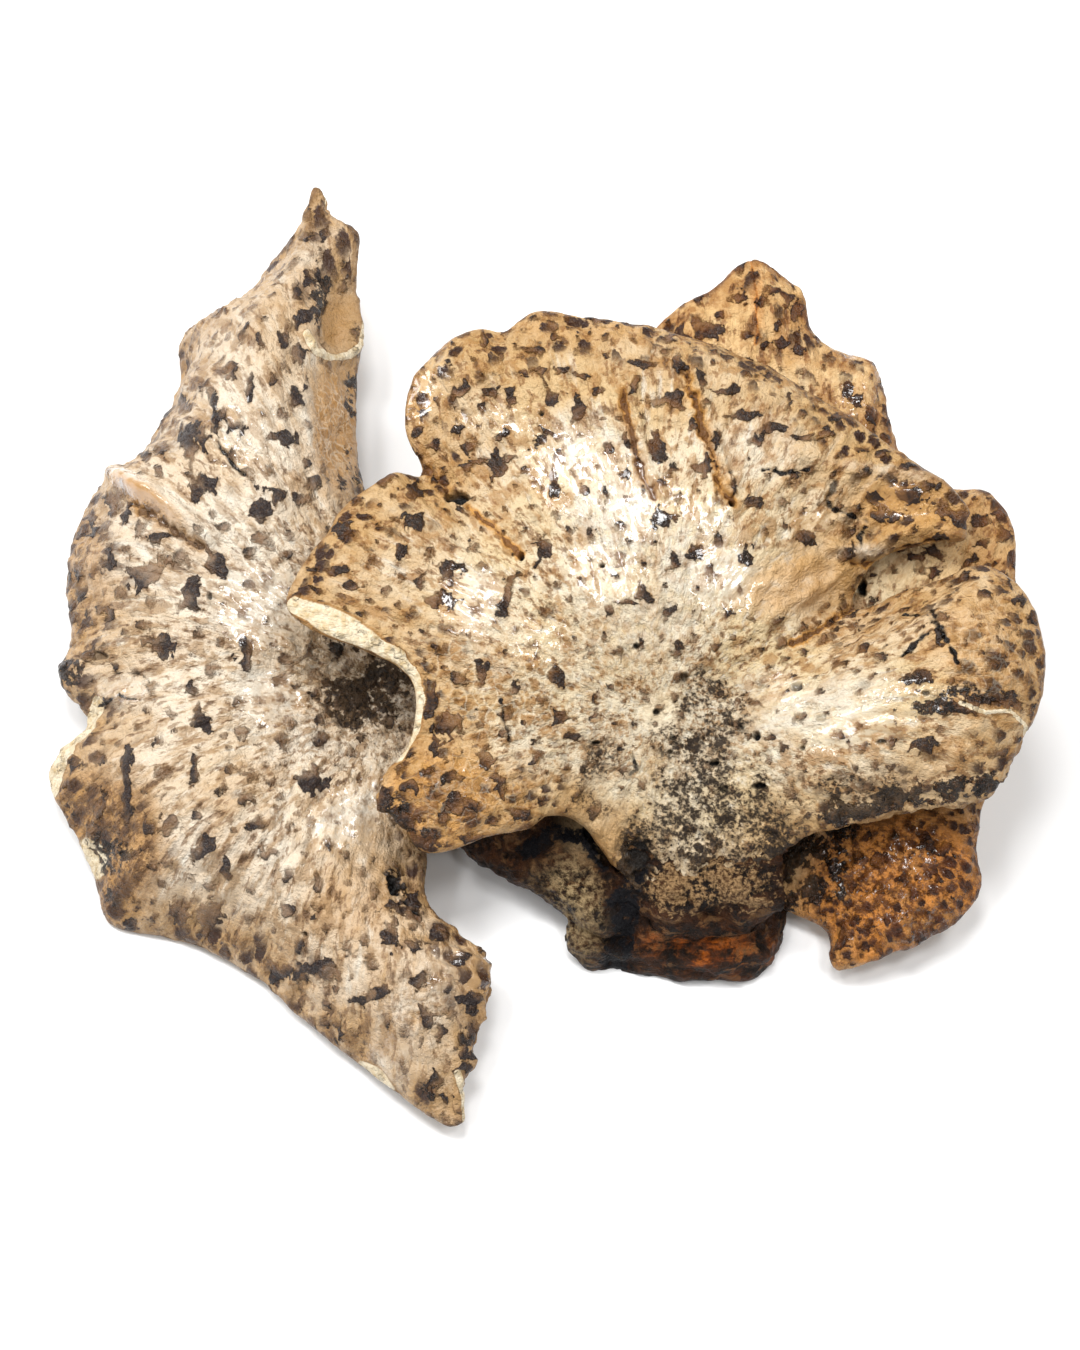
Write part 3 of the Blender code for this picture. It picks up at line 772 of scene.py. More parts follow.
mainCap = {
    "fold": 55,  # degrees, the sharpest edge that the upper skin passes over
    "heart": (-0.006, 0.030),  # where the rays of the cap meet, in metres
    "fan": 0.3,  # how fast the rows of flecks spread from the heart
    "rimTurn": 0.020,  # how far they bend along the margin
    "relief": 1.15,  # how rough the skin is
    "scales": {
        "seed": 4, "tries": 7000, "size": (0.6, 2.0), "sizeBehind": (0.9, 3.2), "gap": 5.0, "crowding": 0.2,
        "tones": (-0.2, 0.6),
    },
    "big": [  # across, down, width, height, tone
        (552, 398, 19, 15, 0.7), (581, 407, 13, 12, 0.8), (599, 390, 12, 9, 0.6), (606, 356, 7, 8, 0.6),
        (641, 363, 24, 8, 0.8), (671, 399, 24, 13, 0.4), (633, 392, 9, 11, 0.7), (657, 446, 18, 22, 0.6),
        (627, 442, 9, 13, 0.6), (610, 447, 15, 13, 0.5), (625, 473, 11, 13, 0.7), (665, 517, 19, 17, 0.9),
        (696, 552, 15, 17, 0.8), (746, 556, 19, 19, 1.0), (752, 502, 18, 12, 0.6), (734, 488, 8, 14, 0.8),
        (706, 466, 18, 22, 0.6), (717, 440, 8, 20, 0.8), (692, 424, 10, 10, 0.6), (702, 381, 10, 10, 0.7),
        (727, 390, 22, 11, 0.8), (744, 415, 34, 9, 0.7), (744, 373, 18, 7, 0.6), (733, 349, 16, 6, 0.7),
        (679, 365, 12, 13, 0.7), (671, 325, 13, 11, 0.3), (669, 340, 11, 8, 0.3), (511, 398, 13, 16, 0.7),
        (492, 392, 15, 10, 0.7), (467, 387, 14, 9, 0.8), (483, 406, 10, 10, 0.6), (523, 373, 8, 11, 0.5),
        (542, 373, 10, 10, 0.4), (554, 338, 13, 10, 0.3), (535, 351, 15, 7, 0.3), (563, 370, 14, 7, 0.6),
        (583, 377, 15, 10, 0.6), (485, 340, 9, 12, 0.3), (458, 429, 11, 12, 0.9), (504, 434, 13, 11, 0.9),
        (498, 463, 20, 24, 0.7), (545, 434, 22, 15, 0.8), (556, 488, 12, 20, 1.0), (585, 490, 14, 14, 0.6),
        (604, 494, 10, 8, 0.9), (629, 602, 23, 9, 0.6), (640, 592, 12, 12, 0.4), (608, 611, 9, 13, 0.4),
        (542, 552, 17, 28, 0.9), (467, 448, 12, 14, 0.5), (436, 445, 9, 11, 0.6), (417, 433, 12, 12, 0.8),
        (437, 400, 7, 10, 0.4), (469, 467, 12, 10, 0.3), (415, 490, 21, 15, 0.7), (417, 525, 20, 18, 0.9),
        (402, 552, 13, 17, 0.9), (440, 601, 17, 18, 0.6), (448, 569, 22, 14, 0.6), (504, 606, 14, 20, 0.8),
        (675, 563, 9, 13, 0.5), (340, 571, 20, 13, 0.8), (342, 530, 21, 17, 0.9), (314, 572, 12, 7, 0.7),
        (351, 584, 17, 9, 0.6), (296, 595, 9, 9, 0.8), (385, 480, 20, 12, 0.4), (444, 600, 26, 15, 0.6),
        (450, 569, 24, 13, 0.6), (482, 670, 13, 24, 0.6), (516, 689, 16, 8, 0.4), (450, 726, 22, 20, 0.3),
        (452, 776, 19, 13, 0.4), (486, 758, 22, 17, 0.2), (498, 778, 15, 12, 0.3), (456, 804, 22, 20, 0.3),
        (494, 820, 12, 10, 0.4), (430, 700, 13, 36, 0.7), (436, 744, 14, 22, 0.7), (556, 676, 17, 20, 0.7),
        (574, 736, 18, 8, 0.9), (560, 718, 18, 14, 0.5), (390, 800, 9, 9, 0.7), (768, 378, 17, 8, 0.6),
        (774, 426, 20, 13, 0.8), (758, 440, 13, 13, 0.6), (804, 438, 19, 7, 0.5), (826, 432, 14, 8, 0.6),
        (834, 418, 14, 6, 0.5), (876, 496, 18, 16, 0.7), (912, 495, 24, 21, 0.6), (942, 510, 18, 18, 0.2),
        (906, 468, 16, 8, 0.7), (874, 434, 12, 6, 0.7), (880, 454, 14, 8, 0.6), (862, 450, 12, 6, 0.6),
        (756, 500, 15, 11, 0.5), (786, 526, 13, 10, 0.5), (804, 538, 24, 15, 0.6), (919, 679, 32, 16, 0.8),
        (1019, 600, 14, 13, 0.8), (1034, 618, 11, 15, 0.7), (984, 595, 14, 8, 0.5), (921, 745, 23, 20, 0.8),
        (1007, 700, 22, 17, 0.5), (960, 710, 30, 14, 0.6), (975, 700, 26, 12, 0.7), (940, 640, 10, 20, 0.9),
        (405, 822, 30, 20, 0.7), (427, 844, 34, 14, 0.6), (470, 840, 24, 13, 0.5), (520, 812, 20, 12, 0.5),
        (384, 800, 16, 24, 0.8), (412, 788, 17, 14, 0.6), (470, 806, 17, 12, 0.6), (886, 516, 26, 16, 0.5),
        (956, 520, 26, 18, 0.6), (930, 488, 16, 10, 0.5), (444, 818, 14, 12, 0.3), (500, 792, 16, 12, 0.4),
    ],
    "holes": [  # across, down, width, height, depth
        (457, 498, 24, 14, 5.0), (521, 556, 8, 9, 3.0), (602, 565, 6, 5, 2.5), (637, 646, 6, 6, 2.5),
        (657, 712, 8, 6, 2.5), (597, 743, 9, 5, 2.5), (712, 763, 12, 8, 3.0), (757, 735, 8, 9, 3.0),
        (742, 729, 9, 11, 1.5), (760, 787, 15, 8, 3.0), (723, 789, 11, 8, 2.0), (797, 687, 13, 11, 2.0),
        (732, 503, 8, 7, 3.0), (730, 473, 5, 5, 2.0), (542, 414, 6, 5, 2.5), (686, 677, 10, 9, 2.0),
        (822, 718, 10, 9, 1.0), (761, 685, 9, 8, 1.0), (865, 685, 16, 8, 1.0), (673, 738, 7, 6, 2.0),
        (670, 752, 6, 6, 2.0), (802, 748, 6, 6, 2.0), (882, 742, 12, 6, 2.0), (926, 693, 10, 6, 2.0),
        (861, 585, 12, 20, 4.0), (641, 860, 32, 46, 2.3),
    ],
    "cracks": [  # path, width, depth, share of amber
        ([(622, 390), (625, 410), (631, 434), (642, 473), (656, 497)], 10, 1.7, 0.75),
        ([(685, 372), (696, 397), (703, 428), (714, 459), (721, 487), (732, 503)], 10, 1.7, 0.75),
        ([(418, 461), (430, 476), (446, 490)], 10, 1.2, 0.8),
        ([(470, 510), (495, 530), (520, 556)], 9, 0.6, 0.9),
        ([(762, 470), (786, 473), (808, 469)], 8, 0.5, 0.1),
        ([(834, 482), (829, 500), (832, 512), (852, 516), (864, 526), (862, 538)], 14, 0.9, 0.15),
        ([(794, 643), (820, 630), (850, 610)], 10, 0.9, 0.6),
        ([(903, 656), (918, 642), (934, 632)], 8, 0.4, 0.1),
        ([(934, 612), (942, 632), (957, 660)], 9, 0.4, 0.1),
        ([(906, 614), (930, 618), (946, 634)], 9, 0.3, 0.2),
        ([(850, 562), (880, 563), (908, 547), (940, 542), (968, 550)], 10, 1.5, 0.7),
        ([(501, 702), (502, 720), (510, 738)], 8, 0.5, 0.2),
        ([(620, 748), (632, 752), (635, 772), (628, 776)], 7, 0.3, 0.2),
    ],
    "ridges": [  # path, width, rise
        ([(800, 452), (835, 464), (870, 474), (910, 474), (945, 488), (966, 515)], 8, 1.9),
        ([(832, 545), (868, 548), (900, 532), (935, 526), (966, 536)], 8, 3.4),
        ([(800, 600), (822, 586), (846, 566), (852, 548)], 6, 1.6),
        ([(700, 752), (800, 700), (900, 640), (960, 618)], 16, 0.8),
        ([(945, 700), (975, 708), (1005, 712), (1022, 728)], 4, 0.8),
        ([(785, 858), (820, 848), (856, 836)], 4, 0.6),
        ([(425, 800), (445, 780), (452, 760)], 6, 0.7),
        ([(631, 388), (634, 409), (641, 434), (652, 472), (666, 496)], 4, 1.3),
        ([(694, 371), (705, 396), (712, 427), (723, 458), (729, 482)], 4, 1.3),
    ],
    "bumps": [  # across, down, half width, half height, turn, rise
        (812, 578, 50, 26, -20, 1.8), (870, 700, 60, 14, -20, 0.6), (895, 506, 60, 14, 8, -1.4),
        (770, 620, 60, 12, -30, 0.9), (846, 570, 14, 26, 20, 1.0),
    ],
    "grittyAndShade": [
        (700, 720, 60, 60, 0, 0.9), (720, 800, 90, 60, -10, 1.0), (670, 850, 60, 70, 0, 0.8),
        (760, 850, 60, 60, 0, 1.0), (860, 790, 70, 26, -8, 0.7), (600, 780, 40, 60, 0, 0.45),
        (700, 905, 80, 30, 0, 0.9),
    ],
    "network": [
        (520, 700, 90, 50, 0, 0.8), (600, 650, 80, 70, 30, 0.6), (460, 660, 40, 40, 0, 0.6),
        (470, 790, 70, 60, 0, 0.4), (990, 650, 50, 60, 0, 0.4),
    ],
    "paleAndPaintedLight": [
        (860, 550, 34, 8, -6, 0.9), (890, 472, 70, 8, 10, 0.6), (600, 450, 70, 40, 30, 0.7),
        (620, 520, 60, 60, 0, 0.9), (700, 560, 60, 60, 0, 0.8), (820, 708, 90, 26, -16, 0.7),
        (770, 690, 40, 26, 0, 0.6), (480, 600, 26, 40, 10, 0.8), (640, 620, 90, 40, 0, 0.5),
        (760, 440, 60, 40, 10, 0.4),
    ],
    "smearAndShade": [
        (850, 808, 60, 12, -8, 0.9), (960, 790, 60, 12, -12, 0.9), (700, 850, 50, 30, 0, 0.5),
        (636, 864, 20, 26, 0, 1.2), (690, 735, 14, 40, 10, 0.55), (650, 915, 50, 20, 0, 1.0),
        (740, 908, 60, 20, 0, 0.9), (940, 700, 60, 18, -10, 0.6), (790, 860, 40, 30, 0, 0.8),
        (700, 925, 90, 14, 0, 1.0), (392, 812, 20, 34, 10, 0.7), (428, 838, 30, 12, 20, 0.6),
        (890, 768, 60, 12, -10, 0.5),
    ],
    "orange": [
        (905, 508, 80, 40, 10, 0.6), (985, 650, 80, 80, -10, 0.5), (440, 800, 80, 70, 0, 0.9),
        (940, 760, 80, 30, -10, 0.35), (500, 790, 60, 40, 0, 0.4), (330, 500, 60, 30, -50, 0.3),
        (590, 325, 120, 22, 0, 0.4), (410, 420, 16, 70, 0, 0.35), (790, 585, 70, 40, -20, 0.55),
    ],
    "flesh": [(340, 626, 54, 15, 27, 1.1)],
    "fleshBands": [
        ([(296, 606), (330, 622), (366, 640), (398, 657)], 10),
        ([(398, 658), (414, 676), (420, 700), (414, 728), (396, 755)], 7),
        ([(958, 703), (985, 713), (1008, 711), (1022, 724), (1024, 734)], 2.4),
        ([(785, 860), (820, 849), (852, 838)], 3),
    ],
    "smearBands": [
        ([(835, 812), (880, 804), (940, 793), (1000, 778)], 16),
        ([(640, 872), (655, 905), (700, 926), (740, 926), (776, 905), (790, 872)], 15),
    ],
    "varnish": [
        (470, 600, 36, 44, 10, 1.0), (606, 572, 44, 34, 20, 1.0), (722, 580, 40, 44, -20, 1.0),
        (570, 470, 60, 50, 30, 0.7), (640, 500, 40, 50, 0, 0.8), (862, 728, 60, 26, -18, 1.1),
        (790, 690, 30, 24, 0, 0.7), (430, 380, 24, 60, 20, 0.6), (812, 522, 18, 12, 0, 1.0),
        (700, 510, 40, 24, 20, 0.7), (905, 700, 60, 30, 0, 0.6), (540, 640, 40, 30, 0, 0.5),
        (500, 420, 60, 20, 0, 0.5), (900, 500, 50, 20, 10, 0.7), (450, 780, 50, 40, 0, 0.25),
    ],
    "pulls": [],  # across, down, reach, shift right, shift up, pinch
    "ripples": [(450, 800, 70, 50, 0, 0.7), (940, 740, 80, 40, -10, 0.5)],
    "torn": [
        (700, 915, 110, 40, 0, 1.0), (920, 820, 110, 24, -8, 0.7), (1010, 760, 40, 50, 0, 0.6),
        (390, 800, 30, 50, 0, 0.6), (930, 520, 60, 30, 0, 0.4),
    ],
    "dense": [
        (570, 330, 130, 26, 4, 0.5), (440, 820, 70, 50, 0, 0.9), (1000, 660, 50, 60, 0, 0.9),
        (860, 440, 60, 40, 30, 0.5), (340, 540, 50, 50, 0, 0.5), (450, 420, 40, 60, 0, 0.4),
    ],
    "bare": [
        (330, 622, 40, 14, 24, 1.0), (800, 580, 75, 40, -20, 1.3), (820, 708, 90, 30, -16, 0.8),
        (640, 620, 60, 60, 0, 0.5), (600, 820, 50, 50, 0, 0.9), (700, 830, 100, 90, 0, 0.9),
    ],
}

mainPiece = dressedCap("main_cap", mainCap, skinMaterial("main skin", tones))

# finishes and marks of the left cap
leftTones = dict(
    tones,
    cream=(223, 209, 188),
    sand=(209, 188, 159),
    tan=(180, 145, 102),
    mottle=(150, 116, 76),
    fleck=(120, 88, 56),
    amber=(174, 128, 70),
    baked=(100, 70, 42),
    dart=(64, 42, 30),
    scaleLight=(104, 74, 50),
    scaleDark=(34, 25, 26),
    faint=0.75,
)

leftCap = {
    "fold": 55,
    "heart": (-0.096, 0.052),
    "fan": 0.08,
    "rimTurn": 0.010,
    "relief": 1.3,
    "scales": {
        "seed": 9, "tries": 7000, "size": (0.7, 2.3), "sizeBehind": (1.0, 3.4), "gap": 5.6, "crowding": 0.2,
        "tones": (-0.3, 0.5),
    },
    "big": [
        (127, 511, 13, 19, 0.8), (111, 501, 13, 18, 0.3), (90, 519, 10, 10, 0.6), (93, 532, 11, 10, 0.8),
        (109, 561, 13, 27, 0.8), (140, 575, 20, 30, 0.5), (111, 615, 13, 15, 0.5), (80, 571, 8, 12, 0.6),
        (71, 580, 8, 14, 0.7), (75, 605, 9, 12, 0.5), (84, 594, 7, 22, 0.7), (196, 494, 16, 15, 0.9),
        (209, 486, 20, 16, 0.8), (259, 511, 19, 22, 1.0), (278, 498, 15, 13, 0.8), (301, 498, 11, 11, 0.4),
        (217, 563, 18, 30, 0.8), (190, 594, 18, 32, 0.8), (163, 646, 28, 26, 0.8), (246, 659, 13, 22, 0.7),
        (248, 644, 12, 10, 0.6), (190, 686, 13, 14, 0.7), (200, 717, 12, 21, 0.8), (194, 773, 10, 33, 0.9),
        (128, 767, 15, 34, 0.9), (313, 784, 30, 22, 1.0), (321, 742, 11, 15, 0.8), (163, 452, 10, 12, 0.6),
        (148, 459, 8, 13, 0.6), (159, 471, 10, 13, 0.6), (155, 540, 14, 11, 0.7), (286, 555, 12, 12, 0.4),
        (115, 669, 9, 10, 0.9), (75, 763, 12, 14, 0.6), (324, 233, 11, 15, 0.8), (305, 238, 10, 11, 0.6),
        (307, 278, 9, 20, 0.9), (318, 273, 10, 20, 0.9), (297, 293, 8, 14, 0.8), (298, 320, 14, 17, 1.0),
        (283, 340, 11, 25, 0.8), (297, 353, 13, 18, 0.6), (232, 367, 13, 22, 0.6), (260, 342, 7, 16, 0.7),
        (250, 392, 11, 16, 0.9), (213, 395, 7, 12, 0.6), (182, 402, 10, 19, 0.6), (218, 417, 14, 12, 0.9),
        (230, 428, 9, 11, 0.7), (243, 430, 7, 13, 0.7), (298, 397, 12, 22, 0.9), (190, 440, 16, 26, 0.9),
        (204, 442, 14, 22, 0.8), (163, 453, 9, 10, 0.8), (283, 438, 25, 18, 0.9), (278, 497, 17, 11, 0.8),
        (313, 483, 12, 13, 0.4), (275, 380, 9, 12, 0.6), (307, 463, 9, 10, 0.6), (205, 845, 22, 26, 0.8),
        (227, 865, 14, 22, 0.9), (127, 810, 10, 20, 0.8), (100, 804, 12, 26, 0.4), (146, 829, 10, 15, 0.7),
        (167, 826, 18, 22, 0.2), (180, 913, 22, 25, 0.3), (133, 922, 15, 15, 0.8), (208, 913, 28, 24, 0.2),
        (287, 910, 15, 24, 0.4), (301, 947, 9, 13, 0.8), (323, 967, 18, 22, 0.9), (278, 970, 20, 18, 0.5),
        (392, 935, 20, 24, 0.7), (414, 949, 14, 15, 0.8), (417, 981, 20, 15, 0.7), (383, 990, 18, 13, 0.8),
        (364, 1001, 15, 11, 0.9), (335, 990, 9, 10, 0.4), (474, 1001, 22, 22, 0.9), (460, 958, 22, 14, 0.6),
        (439, 935, 16, 16, 0.7), (464, 1049, 20, 24, 0.7), (464, 1065, 16, 14, 1.0), (433, 1081, 16, 24, 0.7),
        (444, 1099, 12, 14, 0.8), (265, 854, 16, 12, 0.3), (246, 799, 16, 13, 0.3), (196, 813, 10, 12, 0.6),
        # the dark scales at (352, 700), (378, 710) and (386, 724) sit in the hollow under the main cap and
        # are partly painted shade
        (430, 1017, 17, 17, 0.4), (442, 1031, 12, 14, 0.6), (352, 700, 34, 26, 0.9), (378, 710, 14, 10, 0.9),
        (386, 724, 16, 14, 0.8), (320, 740, 12, 16, 0.7), (410, 904, 22, 26, 0.9), (217, 430, 10, 12, 0.5),
        (63, 671, 16, 20, 0.8), (90, 655, 14, 10, 0.6), (317, 885, 8, 16, 0.3), (100, 760, 10, 14, 0.4),
    ],
    "holes": [
        (395, 884, 16, 26, 3.0), (210, 596, 5, 9, 2.0), (100, 656, 18, 10, 1.5), (305, 934, 5, 5, 2.0),
        (330, 343, 5, 5, 1.0),
    ],
    "cracks": [
        ([(217, 440), (228, 458), (243, 474)], 6, 1.4, 0.2),
        ([(132, 502), (156, 519), (182, 537), (200, 547)], 12, 2.2, 0.8),
        ([(112, 672), (135, 672), (152, 684)], 5, 0.9, 0.2),
        ([(98, 706), (120, 694), (140, 700)], 5, 0.7, 0.1),
        ([(395, 888), (408, 905), (420, 915)], 8, 1.4, 0.0),
    ],
    "ridges": [
        ([(114, 474), (150, 492), (180, 514), (206, 538)], 9, 4.6),
        ([(304, 300), (303, 360), (306, 420), (316, 480)], 6, 0.8),
        ([(303, 336), (312, 351), (330, 358), (347, 355), (358, 344), (360, 326), (356, 300)], 5, 2.0),
        ([(62, 668), (80, 685), (100, 694), (130, 700)], 7, 0.9),
        ([(432, 946), (460, 956), (488, 966)], 4, 1.5),
        ([(428, 962), (455, 972), (486, 984)], 4, 1.5),
        ([(436, 980), (460, 990), (482, 1002)], 4, 1.0),
        ([(420, 905), (428, 925), (450, 935)], 5, 0.9),
    ],
    "bumps": [(78, 672, 22, 22, 0, 1.2), (337, 322, 17, 34, 8, -3.0), (315, 300, 10, 36, 0, 1.2)],
    # painted shade: dark grit in the hollow under the main cap's curl
    "grittyAndShade": [(375, 700, 50, 56, 0, 1.0)],
    "network": [(335, 430, 26, 60, 0, 0.9), (300, 680, 50, 60, 0, 0.4), (420, 1000, 40, 30, 0, 0.4)],
    "paleAndPaintedLight": [
        (250, 600, 50, 40, 0, 0.9), (180, 560, 60, 60, 0, 0.4), (260, 690, 40, 40, 0, 0.6),
        (350, 815, 40, 26, -30, 0.9), (260, 420, 50, 60, 0, 0.5), (120, 690, 40, 20, 10, 0.5),
        (310, 240, 20, 40, 30, 0.4), (380, 1070, 40, 20, 30, 0.6), (230, 520, 60, 40, 0, 0.5),
        (430, 1010, 50, 70, 0, 0.5),
    ],
    # the rows at (368, 694), (398, 668) and (350, 652) are painted shadow in the hollow under the main cap's
    # curl, and those at (357, 430) and (345, 480) are painted shade on the steep east wall of the top lobe
    "smearAndShade": [
        (78, 672, 24, 26, 0, 0.75), (368, 694, 56, 40, 20, 1.0), (398, 668, 30, 24, 0, 0.9),
        (350, 652, 44, 14, 35, 0.6), (100, 860, 44, 60, 0, 0.38), (320, 300, 14, 40, 8, 0.8),
        (395, 885, 18, 22, 0, 0.6), (430, 1090, 14, 20, 0, 0.4), (95, 905, 30, 20, 0, 0.4),
        (470, 1030, 14, 40, 0, 0.35), (357, 430, 16, 90, 0, 0.55), (345, 480, 26, 20, 0, 0.4),
    ],
    "orange": [
        (340, 320, 16, 36, 0, 0.7), (95, 850, 80, 100, 0, 1.15), (80, 580, 50, 100, 0, 0.5),
        (155, 508, 56, 16, 38, 1.0), (350, 900, 60, 60, 30, 0.5), (240, 780, 90, 30, -30, 0.35),
        (338, 425, 32, 84, 0, 0.9), (470, 1000, 30, 60, 0, 0.6), (400, 1000, 60, 70, 0, 0.35),
        (300, 690, 60, 60, 0, 0.25), (200, 920, 70, 30, 10, 0.3),
    ],
    "flesh": [(376, 1077, 26, 9, 38, 1.1), (93, 858, 15, 24, -20, 1.2)],
    "fleshBands": [
        ([(98, 703), (89, 725), (71, 748), (57, 772), (52, 792)], 8),
        ([(303, 338), (312, 352), (330, 358), (347, 355), (358, 344), (361, 326)], 4.4),
        ([(320, 190), (332, 206), (345, 218)], 3),
        ([(457, 1072), (463, 1098), (466, 1124)], 4.5),
    ],
    "smearBands": [],
    "varnish": [
        (262, 608, 50, 46, 0, 1.3), (272, 700, 34, 34, 0, 1.0), (350, 815, 54, 32, -30, 1.2),
        (120, 690, 40, 16, 10, 0.7), (150, 500, 50, 16, 38, 0.7), (250, 430, 60, 60, 0, 0.35),
        (460, 970, 40, 40, 0, 0.6), (400, 1060, 50, 30, 30, 0.5),
    ],
    "pulls": [(317, 197, 13, 0.3, 3.2, 0.3), (333, 203, 8, -0.4, -0.6, 0.0)],
    "ripples": [(450, 980, 50, 60, 0, 0.6), (90, 860, 60, 70, 0, 0.5), (85, 600, 30, 80, 0, 0.4)],
    "torn": [
        (70, 800, 50, 120, 0, 0.6), (470, 1000, 30, 110, 0, 0.9), (60, 680, 30, 30, 0, 0.4),
        (330, 200, 40, 30, 0, 0.5),
    ],
    "dense": [
        (95, 850, 80, 100, 0, 1.3), (85, 570, 50, 100, 0, 0.9), (460, 980, 40, 60, 0, 0.3),
        (250, 950, 120, 30, 25, 0.6), (300, 260, 40, 60, 0, 0.5),
    ],
    "bare": [
        (336, 420, 34, 80, 0, 1.2), (338, 318, 22, 44, 0, 1.2), (162, 504, 56, 13, 38, 1.2),
        (370, 600, 40, 60, 0, 0.6), (370, 850, 40, 40, 0, 0.5),
    ],
}

leftPiece = dressedCap("left_cap", leftCap, skinMaterial("left skin", leftTones))

# finishes and marks of the lower cap
lowerTones = dict(
    tones,
    cream=(234, 214, 176),
    sand=(226, 196, 148),
    tan=(202, 160, 102),
    bone=(226, 206, 168),
    mottle=(150, 102, 50),
    streak=(156, 108, 56),
    amber=(190, 115, 32),
    fleck=(112, 66, 26),
    fleckDark=(72, 38, 14),
    baked=(80, 40, 12),
    dart=(50, 24, 8),
    scaleLight=(88, 48, 20),
    scaleDark=(38, 20, 14),
    shine=0.28,
)

lowerCap = {
    "fold": 55,
    "heart": (0.040, 0.008),
    "fan": 0.3,
    "rimTurn": 0.016,
    "relief": 1.1,
    "scales": {
        "seed": 14, "tries": 6000, "size": (0.7, 2.2), "sizeBehind": (0.9, 3.0), "gap": 5.4, "crowding": 0.1,
        "tones": (-0.1, 0.6),
    },
    "big": [
        (742, 297, 12, 14, 0.5), (774, 290, 18, 11, 0.5), (762, 300, 7, 11, 0.5), (778, 325, 9, 10, 0.9),
        (798, 310, 14, 19, 0.3), (788, 298, 9, 9, 0.3), (714, 333, 14, 17, 0.9), (702, 332, 11, 14, 0.5),
        (748, 336, 10, 9, 0.7), (766, 345, 12, 9, 0.9), (784, 344, 14, 12, 0.9), (800, 350, 14, 12, 0.8),
        (720, 314, 9, 7, 0.6), (846, 390, 12, 20, 0.8), (856, 400, 14, 18, 0.7), (872, 416, 12, 16, 0.5),
        (888, 420, 9, 10, 0.5), (898, 546, 14, 12, 0.6), (917, 557, 12, 12, 0.5), (936, 554, 18, 10, 0.6),
        (934, 572, 14, 9, 0.6), (980, 522, 16, 10, 0.5), (996, 514, 14, 9, 0.3), (1006, 532, 12, 16, 0.3),
        (980, 544, 14, 8, 0.5), (974, 560, 10, 7, 0.8), (1016, 562, 9, 14, 0.3), (924, 842, 16, 18, 0.7),
        (946, 850, 22, 16, 0.5), (880, 860, 20, 14, 0.3), (905, 880, 16, 12, 0.3),
    ],
    "holes": [(862, 588, 12, 20, 3.0)],
    "cracks": [([(752, 262), (756, 300), (757, 340)], 5, 0.3, 0.6)],
    "ridges": [
        ([(800, 290), (808, 320), (840, 350)], 8, 0.6),
        ([(830, 968), (880, 958), (960, 925)], 6, 0.8),
    ],
    "bumps": [],
    "grittyAndShade": [(800, 870, 24, 30, 0, 0.3)],
    "network": [],
    # the patch at (890, 560) is painted light, lightening a part that lies in shadow
    "paleAndPaintedLight": [(950, 935, 40, 12, -30, 0.6), (860, 970, 30, 8, -10, 0.5), (890, 560, 60, 40, 0, 0.6)],
    # the rows at (804, 868), (790, 850) and (830, 836) are painted shadow where the flap lies under the main
    # cap
    "smearAndShade": [
        (804, 868, 56, 66, 0, 0.8), (790, 850, 26, 44, 0, 1.4), (940, 855, 30, 20, 0, 0.4),
        (830, 836, 40, 12, -8, 0.7),
    ],
    "orange": [(900, 890, 130, 115, 0, 1.15), (757, 300, 10, 50, 0, 0.5), (990, 540, 40, 60, 0, 0.25)],
    "flesh": [],
    "fleshBands": [([(834, 976), (862, 972), (904, 956), (944, 938), (974, 914), (984, 890)], 3)],
    "smearBands": [],
    "varnish": [(890, 880, 100, 90, 0, 0.33), (860, 380, 30, 60, 0, 0.4)],
    "pulls": [],
    "ripples": [(895, 880, 110, 90, 0, 1.5), (860, 380, 40, 60, 0, 0.4)],
    "torn": [(880, 960, 120, 30, -10, 0.6), (870, 400, 40, 50, 0, 0.4)],
    "dense": [(895, 885, 120, 85, 0, 1.1)],
    "bare": [(800, 880, 30, 60, 0, 0.8)],
}

lowerPiece = dressedCap("lower_cap", lowerCap, skinMaterial("lower skin", lowerTones))


# finishes and marks of the stem
barkTones = {
    "dark": (18, 9, 4),
    "brown": (64, 35, 14),
    "worn": (92, 56, 28),
    "fibre": (116, 84, 52),
    "glowDark": (84, 34, 4),
    "glow": (158, 80, 18),
    "chalkDark": (78, 57, 36),
    "chalk": (174, 150, 110),
    "crumbDark": (86, 60, 36),
    "crumb": (162, 130, 90),
    "mouthDark": (150, 122, 84),
    "mouth": (200, 174, 132),
    # near-black painted shade in the crack and painted shadow under the arch of the main cap
    "gap": (13, 12, 16),
}

